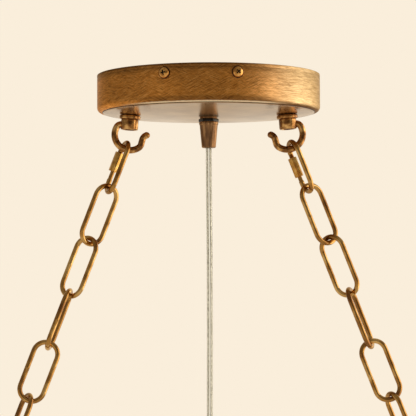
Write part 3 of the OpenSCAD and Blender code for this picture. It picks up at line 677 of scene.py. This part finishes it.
def makeSideScrews():
    r, h, shank, length = pick(sideScrew, "headRadius headHeight shank shankLength")
    profile = [(0, -length), (shank - 0.3, -length)]
    for i in range(12):  # the ridges of the thread
        z = -length + 0.4 + i * sideScrew["pitch"]
        profile += [(shank - 0.28, z), (shank, z + 0.22)]
    profile += [(shank, 0), (r + 0.5, 0), (r + 0.4, 0.2), (r, 0.3), (r, 0.5)]  # with a thin ring round it that carries a painted shadow
    for i in range(1, 10):  # the domed head
        angle = math.radians(i * 10)
        profile.append((r * math.cos(angle) if i < 9 else 0, 0.5 + (h - 0.5) * math.sin(angle)))
    screw = turned("sideScrew", profile, steps=48)
    for angle in (0, 90):  # the tapered wings of the cross recess
        wing = newPiece("wing", "cube", size=0.001)
        toMode("EDIT")
        bpy.ops.transform.resize(value=(sideScrew["recess"], sideScrew["slot"], 3.0))
        bpy.ops.mesh.select_all(action="DESELECT")
        toMode("OBJECT")
        for vertex in wing.data.vertices:
            vertex.select = vertex.co.z < 0
        toMode("EDIT")
        bpy.ops.transform.resize(value=sideScrew["recessTaper"], center_override=(0, 0, -0.0015))
        toMode("OBJECT")
        wing.data.transform(shift(0, 0, h + sideScrew["recessUp"]) @ turnBy(angle))
        combine(screw, wing)
    soften(screw, 0.06, 40)
    dress(screw, screwGold, antiqueBrownAndShadow)
    for face in screw.data.polygons:
        across, height = math.hypot(face.center.x, face.center.y) * 1000, face.center.z * 1000
        # the cross recess gets the brown patina, and the thin ring round the head a painted shadow
        inRecess = across < 2.4 and 0.6 < height < h - 0.12 and (face.normal.z < 0.55 or height < h - 1.0)
        if inRecess or (across > r - 0.1 and height < 0.45):
            face.material_index = 1
    first, further = sideScrew["turns"]
    out = shift(0, -canopy["radius"], -canopy["screwDrop"]) @ turnBy(90, "X")
    screws = joined("sideScrews", copiesOf(screw, [
        turnBy(angle) @ out @ turnBy(first + further * i) for i, angle in enumerate(canopy["screws"])]))
    tidyMesh(screws, 40)
    settle(screws, "canopy", "side_screws", "antique_gold")


makeSideScrews()


# Cord grip and its black nut

grip = {
    "washerTop": -28.5, "nutTop": -29.3, "nutHeight": 2.1, "nutFlats": 11.8, "nutTurn": -6, "collar": 6.5,
    "collarHeight": 2.0, "root": 6.1, "tip": 4.8, "length": 17.5, "bore": 2.4,
    "seat": 4.9,  # hole for the nipple, and its depth
    "seatDepth": 5,
}


def hexPrism(name, flats, height, chamfer):
    corner = flats / 2 / math.cos(math.radians(30))
    nut = newPiece(name, "cylinder", vertices=6, radius=corner / 1000, depth=height / 1000)
    nut.data.transform(shift(0, 0, height / 2) @ turnBy(30))
    cone = turned("nutChamfer", [
        (0, -0.01), (corner - chamfer, -0.01), (corner + 0.02, chamfer * 0.6), (corner + 0.02, height - chamfer * 0.6),
        (corner - chamfer, height + 0.01), (0, height + 0.01)], steps=48)
    combine(nut, cone, "INTERSECT")
    soften(nut, 0.15, 25)
    return nut


def taperedGrip(name, base, way, before, after):  # from the collar to the tip, way -1 points it down
    collar, step, root, tip, length, bore = pick(grip, "collar collarHeight root tip length bore")
    profile = before + [
        (collar - 0.2, 0), (collar, 0.2), (collar, step - 0.4), (root + 0.15, step), (root, step + 0.15),
        (tip + 0.02, length - 1.1), (tip - 0.12, length - 0.35), (tip - 0.6, length), (bore + 0.35, length),
        (bore, length - 0.35)] + after
    return turned(name, [(r, way * z) for r, z in profile], base=base, edge=0.12)


def makeGrip():
    low, high = grip["nutTop"], grip["washerTop"]
    base, seat, r = low - grip["nutHeight"], grip["seat"], grip["nutFlats"] / 2
    nut = hexPrism("gripHexNut", grip["nutFlats"], grip["nutHeight"], 0.5)
    nut.data.transform(shift(0, 0, base) @ turnBy(grip["nutTurn"]))
    tidyMesh(nut, 30)
    settle(nut, "canopy", "grip_hex_nut", "black_steel", blackened)
    washer = turned("gripWasher", [
        (seat + 0.05, high), (r - 0.15, high), (r, high - 0.15), (r, low + 0.15), (r - 0.15, low),
        (seat + 0.05, low)], steps=56)
    settle(washer, "canopy", "grip_hex_nut", "antique_gold", gripGold)
    depth = grip["seatDepth"]
    body = taperedGrip("cordGrip", base, -1, [(seat, 0)], [(grip["bore"], depth), (seat, depth)])
    settle(body, "canopy", "cord_grip", "antique_gold", gripGold)


makeGrip()


# Hooks: each a hollow hub and a bent wire with a rounded, turned-up tip

hook = {
    "ringRadius": 7.15, "ringHeight": 3.0, "hubRadius": 5.9, "hubHeight": 6.9, "bore": 4.25, "wire": 4.5,
    "curl": 10.5, "drop": 3.2, "start": -1.6, "rootAt": 150, "rootRadius": 3.5, "turnAt": 300,
    "turnRadius": 4.5, "turnBy": 45, "neck": 2.9, "tipBy": -55, "knob": 4.8,
}
hubZ = crownHeight(canopy["hookOffset"])
curlZ = hubZ - hook["ringHeight"] - hook["hubHeight"] - hook["drop"]


def atHub(side):
    return shift(side * canopy["hookOffset"], 0, hubZ) @ turnBy(-side * canopy["hubTilt"], "Y")


def makeHubRings():
    r, h, bore = hook["ringRadius"], hook["ringHeight"], hook["bore"]
    ring = turned("hubRing", [
        (bore, -h), (r - 0.9, -h), (r - 0.25, -h + 0.3), (r, -h + 0.8), (r, -0.9), (r - 0.3, -0.35), (r - 0.8, -0.12),
        (bore, -0.12)], steps=56, edge=0.1)
    rings = joined("hubRings", copiesOf(ring, [atHub(-1), atHub(1)]))
    settle(rings, "canopy", "hub_rings", "antique_gold", castGold)


def spot(distance, degrees, x=0.0, z=0.0):
    return x + distance * math.cos(math.radians(degrees)), z + distance * math.sin(math.radians(degrees))


def makeHooks():
    r, bore, h = hook["hubRadius"], hook["bore"], hook["hubHeight"]
    hub = turned("hookHub", [
        (bore, h), (r - 0.2, h), (r, h - 0.25), (r, 0.7), (r - 0.25, 0.2), (r - 0.7, 0), (bore + 0.3, 0), (bore, 0.3)],
        steps=56, base=-hook["ringHeight"] - 0.1 - h, edge=0.1)
    hub.data.transform(atHub(-1))
    curl, root, bend, rootAt, turnAt, tipBy = pick(hook, "curl rootRadius turnRadius rootAt turnAt tipBy")
    up = turnAt + hook["turnBy"]
    rootX, rootZ = spot(curl - root, rootAt)
    turnX, turnZ = spot(curl - bend, turnAt)
    neckX, neckZ = spot(hook["neck"], up + 90)
    tipX, tipZ = spot(bend * 2, up, turnX, turnZ)
    tipX, tipZ = tipX + neckX, tipZ + neckZ
    endX, endZ = spot(bend, up - 180 + tipBy, tipX, tipZ)
    wire = drawnWire("hookWire", hook["wire"], (hook["start"], 0, rootZ + root), 90, [
        ("run", (rootX - hook["start"], 0, 0), 3),
        ("bend", (rootX, 0, rootZ), rootAt - 90, 8),
        ("bend", (0, 0, 0), turnAt - rootAt, 28),
        ("bend", (turnX, 0, turnZ), hook["turnBy"], 8),
        ("run", (neckX, 0, neckZ), 2),
        ("bend", (tipX, 0, tipZ), tipBy, 7),
    ], sides=28)
    knob = newPiece("knob", "uv_sphere", segments=28, ring_count=18, radius=hook["knob"] / 2000)
    knob.data.transform(shift(endX, 0, endZ) @ Matrix.Diagonal((1.0, 1.0, 0.94, 1.0)))
    combine(wire, knob, "UNION")
    wire.data.transform(shift(-canopy["hookOffset"], 0, curlZ))
    tidyMesh(wire, 50)
    left, right = copiesOf(joined("hook", [hub, wire]), [Matrix.Identity(4), Matrix.Scale(-1, 4, (1, 0, 0))])
    left.name, right.name = "hookLeft", "hookRight"
    tidyMesh(right, 50)  # its faces point inwards after the mirroring
    settle(left, "hook_left", "hook_left", "antique_gold_chain", castGold)
    settle(right, "hook_right", "hook_right", "antique_gold_chain", castGold)


makeHubRings()
makeHooks()
print("canopy, grip and hooks made")


# Chains: quick link, drawn links, quick link, on each side

chain = {
    "angle": 21.2, "wire": 3.4, "inner": 37.8, "width": 19.8, "pitch": 37.5, "firstTop": 39.05, "seam": 0.5,
    "count": 12,
    "spinsLeft": [-36, 34, -84, 0, 66, -24],
    "spinsRight": [-36, 34, -74, 0, 66, -24],
    "spinsBelow": [66, -24],
}
quickLink = {
    "wire": 3.5, "inner": 31.8, "width": 17.8, "topAt": 7.75, "topSpin": 70, "lowAt": 489.05, "lowSpin": 66,
    "cover": 4.5, "gap": 1.2, "nutLength": 13.7, "nutFlats": 5.6, "nutGap": 0.3,
    "nutBackRight": 2.4,  # the top right nut is not screwed home
    "nutTurnRight": 30, "threadPitch": 0.7, "threadDepth": 0.829,
}
bothSides = ((-1, "left"), (1, "right"))


def onChain(side, distance, spin):
    return (shift(side * canopy["hookOffset"], 0, curlZ) @ turnBy(-side * chain["angle"], "Y")
            @ shift(0, 0, -distance) @ turnBy(-spin))


def ovalSizes(sizes):  # half the width between the wires' middles, radius inside the bend, length of the legs
    half = (sizes["width"] - sizes["wire"]) / 2
    bend = half - sizes["wire"] / 2
    return half, bend, sizes["inner"] - 2 * bend


def makeLink():  # one oval link, with the small raised seam where its wire ends meet
    half, bend, leg = ovalSizes(chain)
    seam = chain["seam"]
    return drawnWire("link", chain["wire"], (half, 0, -bend), 0, [
        ("run", (0, 0, -leg), 4),
        ("bend", (0, 0, -bend - leg), -180, 20),
        ("run", (0, 0, leg / 2 - seam), 2),
        ("step", (0, 0, seam * 0.6), 1.035),
        ("step", (0, 0, seam * 0.4), 0.985),
        ("step", (0, 0, seam * 0.4), 1.015),
        ("step", (0, 0, seam * 0.6), 1 / (1.035 * 0.985 * 1.015)),
        ("run", (0, 0, leg / 2 - seam), 2),
        ("bend", (0, 0, -bend), -180, 20),
    ], closed=True)


def makeLinks():
    for side, word in bothSides:
        spins = chain["spinsLeft"] if side < 0 else chain["spinsRight"]
        spins = spins + chain["spinsBelow"] * 3
        links = copiesOf(makeLink(), [
            onChain(side, chain["firstTop"] + i * chain["pitch"], spins[i]) for i in range(chain["count"])])
        pieces = [(f"link{word.title()}{i + 1}", f"link_{word}_{i + 1}", links[i:i + 1]) for i in range(6)]
        pieces += [(f"links{word.title()}{group.title()}", f"links_{word}_{group}", links[i:i + 2])
                   for i, group in ((6, "middle"), (8, "lower"), (10, "last"))]
        for name, node, parts in pieces:
            settle(joined(name, parts), f"chain_{word}", node, "antique_gold_chain", wireGold)


def makeQuickLink():
    half, bend, leg = ovalSizes(quickLink)
    pitch, deep, cover = quickLink["threadPitch"], quickLink["threadDepth"], quickLink["cover"]
    turns = int(cover / pitch)
    thread = [("step", (0, 0, pitch / 2), 1 / deep), ("step", (0, 0, pitch / 2), deep)] * turns
    return drawnWire("quickLink", quickLink["wire"] * deep, (-half, 0, -bend - cover), 0, thread + [
        ("step", (0, 0, cover - turns * pitch), 1 / deep),
        ("bend", (0, 0, -bend), -180, 22),
        ("run", (0, 0, -leg), 4),
        ("bend", (0, 0, -bend - leg), -180, 22),
        ("run", (0, 0, 1.2), 1),
        ("step", (0, 0, 0.4), deep),
        ("run", (0, 0, leg - cover - quickLink["gap"] - 2.2), 3),
        ("step", (0, 0, 0.4), 0.9),
        ("step", (0, 0, 0.2), 0.8),
    ])


def makeQuickLinks():
    half, bend, _ = ovalSizes(quickLink)
    down = bend + quickLink["nutGap"] + quickLink["nutLength"]
    firstLink = makeQuickLink()
    firstNut = hexPrism("sleeveNut", quickLink["nutFlats"], quickLink["nutLength"], 0.55)
    tidyMesh(firstNut, 25)
    for level, at in (("", "top"), ("low_", "low")):
        for side, word in bothSides:
            place = onChain(side, *pick(quickLink, f"{at}At {at}Spin"))
            loose = side > 0 and not level
            back, turn = pick(quickLink, "nutBackRight nutTurnRight") if loose else (0, 0)
            link, nut = copyOf(firstLink, place), copyOf(firstNut, place @ shift(-half, 0, -down - back) @ turnBy(turn))
            node, nutNode = f"{level}quick_link_{word}", f"{level}sleeve_nut_{word}"
            link.name, nut.name = (text.title().replace("_", "") for text in (node, nutNode))
            settle(link, f"chain_{word}" if level else node, node, "antique_gold_chain", wireGold)
            settle(nut, nutNode, nutNode, "antique_gold_chain", nutGold)
    for first in (firstLink, firstNut):
        bpy.data.objects.remove(first)


makeLinks()
makeQuickLinks()
print("chains made")


# Lantern frame: square tube with soft corners, hung from two eye bolts

lantern = {
    "length": 900.0, "depth": 260.0, "tube": 12.0, "corner": 1.3, "top": -542.463, "bottom": -822.463,
    "eyeX": 243.051, "eyeZ": -530.213, "eyeRadius": 8.0, "eyeWire": 4.5, "foot": 5.5, "footHeight": 3.0,
    "thread": 2.45, "threadPitch": 0.8,
    "threadOut": 2.5,  # below the nut
    "nutFlats": 9.0, "nutHeight": 4.0,
}


def softBar(name, low, high, corner):  # a bar with rounded long edges and crisp cut ends
    low, high = metres(low), metres(high)
    bar = newPiece(name, "cube", size=1, location=(0, 0, 0))
    bar.data.transform(Matrix.Translation((low + high) / 2) @ Matrix.Diagonal((*(high - low), 1.0)))
    axis = max(range(3), key=lambda i: (high - low)[i])
    for edge in bar.data.edges:
        a, b = (bar.data.vertices[v].co for v in edge.vertices)
        edge.select = abs((b - a)[axis]) > 1e-6
    for vertex in bar.data.vertices:
        vertex.select = False
    toMode("EDIT")
    bpy.ops.mesh.select_mode(type="EDGE")
    bpy.ops.mesh.bevel(offset=corner / 1000, segments=4, affect="EDGES")
    bpy.ops.mesh.select_mode(type="VERT")
    toMode("OBJECT")
    soften(bar, 0.25, 60)
    return bar


def makeFrameTubes():
    t, corner, top, bottom = pick(lantern, "tube corner top bottom")
    halfL, halfD = lantern["length"] / 2, lantern["depth"] / 2
    railX, railY = halfL - t, halfD - t
    levels, rows, ends = (bottom, top - t), (-halfD, railY), (-halfL, railX)
    for name, node, material, bars in (
            ("spine", "spine", tubeGoldX, [((-railX, -t / 2, top - t), (railX, t / 2, top))]),
            ("longRails", "long_rails", tubeGoldX, [
                ((-railX, y, z), (railX, y + t, z + t)) for z in levels for y in rows]),
            ("endRails", "end_rails", tubeGoldY, [
                ((x, -railY, z), (x + t, railY, z + t)) for z in levels for x in ends]),
            ("cornerPosts", "corner_posts", tubeGoldZ, [
                ((x, y, bottom), (x + t, y + t, top)) for x in ends for y in rows])):
        piece = joined(name, [softBar("tube", low, high, corner) for low, high in bars])
        tidyMesh(piece, 40)
        settle(piece, "frame", node, "antique_gold", material)


def makeEyeBolts():
    r, z, top, foot, footH, shank, nutH = pick(lantern, "eyeRadius eyeZ top foot footHeight thread nutHeight")
    ring = drawnWire("eyeRing", lantern["eyeWire"], (r, 0, z), 0, [("bend", (0, 0, z), -360, 48)], closed=True)
    low = top - lantern["tube"] - nutH - lantern["threadOut"]
    profile = [(0, low), (shank - 0.4, low)]
    ridge = low + 0.3
    while ridge < top - 0.9:
        profile += [(shank - 0.35, ridge), (shank, ridge + 0.4)]
        ridge += lantern["threadPitch"]
    profile += [(shank, top), (foot - 0.3, top), (foot, top + 0.3), (foot, top + footH - 0.9),
                (foot - 0.9, top + footH), (3.4, top + footH + 0.25), (2.5, top + footH + 1.2), (0, top + footH + 1.4)]
    eye = joined("eyeBolt", [ring, turned("eyeFoot", profile, steps=40, smoothAngle=35)])
    nut = hexPrism("eyeNut", lantern["nutFlats"], nutH, 0.6)
    ends = (-lantern["eyeX"], lantern["eyeX"])
    bolts = joined("eyeBolts", copiesOf(eye, [shift(x, 0, 0) for x in ends]))
    settle(bolts, "frame", "eye_bolts", "antique_gold_chain", wireGold)
    nuts = joined("eyeNuts", copiesOf(nut, [shift(x, 0, top - lantern["tube"] - nutH) for x in ends]))
    tidyMesh(nuts, 30)
    settle(nuts, "frame", "eye_nuts", "antique_gold_chain", wireGold)


makeFrameTubes()
makeEyeBolts()
lowGrip = taperedGrip("lowCordGrip", lantern["top"], 1, [(grip["bore"], 0)], [])
settle(lowGrip, "frame", "low_cord_grip", "antique_gold", gripGold)
print("frame made")


# Candle lights on their bar

lights = {
    "places": [-270, -90, 90, 270],
    "barTop": -744.463, "barLength": 586.0, "barDepth": 16.0, "barHeight": 10.0, "barWall": 1.0, "stem": 5.0,
    "stemLength": 190.0, "pan": 23.0, "panRise": 6.0, "panSheet": 1.2, "wireHole": 3.0, "sleeve": 11.0,
    "sleeveWall": 1.0, "sleeveHeight": 62.0, "socketHeight": 50.0, "socketDepth": 20.0, "base": 6.6,
    "baseHeight": 24.0, "bulb": 17.0, "bulbHeight": 78.0, "glass": 0.8, "rodOff": 3.2,
}
barTop = lights["barTop"]


def settleLights(piece, name, node, slot, material):  # one at each place along the bar
    pieces = joined(name, copiesOf(piece, [shift(x, 0, 0) for x in lights["places"]]))
    settle(pieces, "frame", node, slot, material)


def makeStemAndBar():
    r, high, wall = lights["stem"], lights["stemLength"], lights["barWall"]
    stem = turned("lightStem", [
        (r - 1, 0), (r, 0), (r, 2.4), (r - 0.45, 3.0), (r - 0.25, 3.6), (r - 0.25, high - 3.6), (r - 0.45, high - 3.0),
        (r, high - 2.4), (r, high), (r - 1, high)], steps=48, base=barTop, edge=0.1)
    settle(stem, "frame", "light_stem", "antique_gold", tubeGoldZ)
    halfL, halfD, low = lights["barLength"] / 2, lights["barDepth"] / 2, barTop - lights["barHeight"]
    bar = softBar("lightBar", (-halfL, -halfD, low), (halfL, halfD, barTop), 1.0)
    combine(bar, softBar("barHollow", (-halfL + wall, -halfD + wall, low - 1),
                         (halfL - wall, halfD - wall, barTop - wall), 0.4))
    for x in [0] + lights["places"]:
        combine(bar, newPiece("drill", "cylinder", vertices=32, depth=0.004,
                              radius=lights["wireHole"] / 1000, location=metres((x, 0, barTop - wall / 2))))
    tidyMesh(bar, 40)
    settle(bar, "frame", "light_bar", "antique_gold", tubeGoldX)


def makeDripPans():
    r, rise, sheet, hole = pick(lights, "pan panRise panSheet wireHole")
    pan = turned("dripPan", [
        (hole, 0), (r - 7.2, 0), (r - 5.2, 0.35), (r - 3.4, 1.5), (r - 1.6, 3.6), (r - 0.45, rise - 0.9),
        (r, rise - 0.55), (r, rise - 0.15), (r - 0.25, rise), (r - 0.9, rise), (r - 1.5, rise - 0.7), (r - 2.6, 4.2),
        (r - 4.2, 2.4), (r - 5.8, 1.5), (r - 7.4, sheet), (hole, sheet)],
        steps=72, base=barTop, smoothAngle=50)
    settleLights(pan, "dripPans", "drip_pans", "antique_gold", castGold)


def makeCandleSleeves():
    r, wall, high, socketHigh = pick(lights, "sleeve sleeveWall sleeveHeight socketHeight")
    base = barTop + lights["panSheet"]
    sleeve = turned("candleSleeve", [
        (r - wall, 0), (r - 0.2, 0), (r, 0.2)] + [(r, 4 * i) for i in range(1, 15)] + [
        (r, high - 2.4), (r - 0.05, high - 1.2), (r - 0.2, high - 0.35), (r - 0.5, high), (r - 0.8, high - 0.2),
        (r - wall, high - 0.8)], steps=72, base=base, smoothAngle=50)
    settleLights(sleeve, "candleSleeves", "candle_sleeves", "candle_white", candle)
    bottom = socketHigh - lights["socketDepth"]
    r, bore = lights["base"] + 2.0, lights["base"] + 0.2
    socket = turned("socket", [
        (0, 0), (r - 0.4, 0), (r, 0.4), (r, 18), (r - 0.7, 18.7), (r - 0.7, 21), (r, 21.7), (r, socketHigh - 0.6),
        (r - 0.6, socketHigh), (bore + 0.4, socketHigh), (bore, socketHigh - 0.4), (bore, bottom), (0, bottom)],
        steps=48, base=base)
    settleLights(socket, "sockets", "sockets", "ceramic", porcelain)


def makeBulbs():
    r, neck, high, wall = pick(lights, "base baseHeight bulbHeight glass")
    seat = barTop + lights["panSheet"] + lights["socketHeight"] - lights["socketDepth"]
    profile = [(0, 0), (2.2, 0), (2.6, 0.9), (4.6, 1.6), (5.6, 3.0)]
    z = 3.2
    while z < neck - 4.4:  # the rolled thread
        profile += [(r - 0.75, z), (r - 0.35, z + 0.7), (r, z + 1.4), (r - 0.35, z + 2.1)]
        z += 2.8
    profile += [(r - 0.5, neck - 3.6), (r, neck - 3.0), (r, neck - 0.4), (r - 0.4, neck), (0, neck)]
    base = turned("bulbBase", profile, steps=48, base=seat, smoothAngle=50)
    settleLights(base, "bulbBases", "bulb_bases", "nickel", nickel)

    def glassRadius(t):
        return max(r * (1 - t), lights["bulb"] * math.sin(math.pi * t ** 0.85) ** 0.9)

    steps = 36
    outer = [(glassRadius(i / steps) if i else r, high * i / steps) for i in range(steps)] + [(0, high)]
    inner = [(max(glassRadius(i / steps) - wall, 0.4), (high - wall) * i / steps) for i in range(1, steps)]
    inner = [(r - wall, 0)] + inner + [(0, high - wall)]
    glass = turned("bulbGlass", inner[::-1] + outer, base=seat + neck, smoothAngle=80)
    settleLights(glass, "bulbGlass", "bulb_glass", "bulb_glass", lampGlass)

    stem = turned("bulbStem", [
        (0, 0.3), (3.8, 0.3), (3.9, 1.0), (2.6, 4), (1.7, 9), (1.5, 14), (1.9, 15), (4.0, 15.2), (4.1, 15.7),
        (3.9, 16.2), (0, 16.3)], steps=32, base=seat + neck, smoothAngle=60)
    rod = turned("filamentRod", [
        (0, 16), (0.35, 16.1), (0.38, 18), (0.68, 18.6), (0.7, 45), (0.38, 45.6), (0.35, 47), (0, 47.2)],
        steps=12, base=seat + neck, smoothAngle=50)
    rods = copiesOf(rod, [turnBy(angle) @ shift(lights["rodOff"], 0, 0) for angle in (0, 90, 180, 270)])
    settleLights(joined("bulbFilament", [stem] + rods), "bulbFilaments", "bulb_filaments", "filament", phosphor)


makeStemAndBar()
makeDripPans()
makeCandleSleeves()
makeBulbs()
print("lights made")


# Threaded nipples and their lock nuts inside the canopy, and the terminal block

inside = {
    "hookNipple": (4.0, 2.8, -7.0, 6.8),  # radius, bore, low end, high end
    "gripNipple": (4.9, 2.6, -36.4, -21.733), "pitch": 1.0, "threadDepth": 0.45, "nutHeight": 3.0,
    "hookNut": (12.0, 0.7, 1.3),  # across flats, chamfer, seat
    "gripNut": (14.0, 0.8, -27.233), "blockLow": -12.6, "blockHigh": -1.6, "blockLength": 30.0,
    "blockNear": 8.0, "blockFar": 24.0, "well": 2.0, "screw": 1.75,
}


def threadedTube(name, radius, bore, low, high):
    pitch, deep = inside["pitch"], inside["threadDepth"]
    profile = [(bore, low), (radius - deep, low)]
    z = low + 0.3
    while z < high - pitch:
        profile += [(radius - deep, z), (radius, z + pitch * 0.45), (radius, z + pitch * 0.55)]
        z += pitch
    profile += [(radius - deep, z), (radius - deep, high), (bore, high)]
    return turned(name, profile, steps=40, smoothAngle=35)


def makeNipples():
    for start, node, hubs in (("hook", "hook_{}s", [atHub(-1), atHub(1)]), ("grip", "grip_{}", [Matrix.Identity(4)])):
        many = "s" if len(hubs) > 1 else ""
        nipple = threadedTube("nipple", *inside[start + "Nipple"])
        nipples = joined(f"{start}Nipple{many}", copiesOf(nipple, hubs))
        settle(nipples, "canopy", node.format("nipple"), "zinc_steel", zinc)
        flats, chamfer, seat = inside[start + "Nut"]
        nut = hexPrism("lockNut", flats, inside["nutHeight"], chamfer)
        nuts = joined(f"{start}LockNut{many}", copiesOf(nut, [hub @ shift(0, 0, seat) for hub in hubs]))
        tidyMesh(nuts, 30)
        settle(nuts, "canopy", node.format("lock_nut"), "zinc_steel", zinc)


def makeTerminalBlock():  # glazed body with a sunk slotted screw in each of three wells
    low, length, near, far, r, well = pick(inside, "blockLow blockLength blockNear blockFar screw well")
    block = softBar("terminalBlock", (-length / 2, near, low), (length / 2, far, inside["blockHigh"]), 1.2)
    screws = []
    for i in (-1, 0, 1):
        place = shift(i * length / 3, (near + far) / 2, 0)
        hole = turned("well", [(0, -1), (well, -1), (well, 4), (0, 4)], steps=28, base=low)
        hole.data.transform(place)
        combine(block, hole)
        screw = turned("terminalScrew", [(0, 1.6), (r - 0.35, 1.6), (r, 1.9), (r, 4), (0, 4)], steps=28, base=low)
        combine(screw, softBar("slot", (-3, -0.25, low - 0.5), (3, 0.25, low + 2.3), 0.02))
        screw.data.transform(place @ turnBy(20 + 50 * i))
        screws.append(screw)
    tidyMesh(block, 40)
    settle(block, "canopy", "terminal_block", "ceramic", porcelain)
    screws = joined("terminalScrews", screws)
    tidyMesh(screws, 35)
    dress(screws, nickel)
    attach(screws, "canopy")


makeNipples()
makeTerminalBlock()
print("inside of the canopy made")


# The CAD nodes: two of them show, the others are dressed like the pieces that replace them

nodeMaterials = {
    zinc: ("mounting_bracket", "grip_nipple", "grip_lock_nut", "hook_nipples", "hook_lock_nuts"),
    passivated: ("earth_screw",),
    porcelain: ("terminal_block", "sockets"),
    candle: ("candle_sleeves",),
    nickel: ("bulb_bases",),
    lampGlass: ("bulb_glass",),
    phosphor: ("bulb_filaments",),
}
for node in cad.values():
    dress(node, wireGold)
for material, names in nodeMaterials.items():
    for name in names:
        dress(cad[name], material)
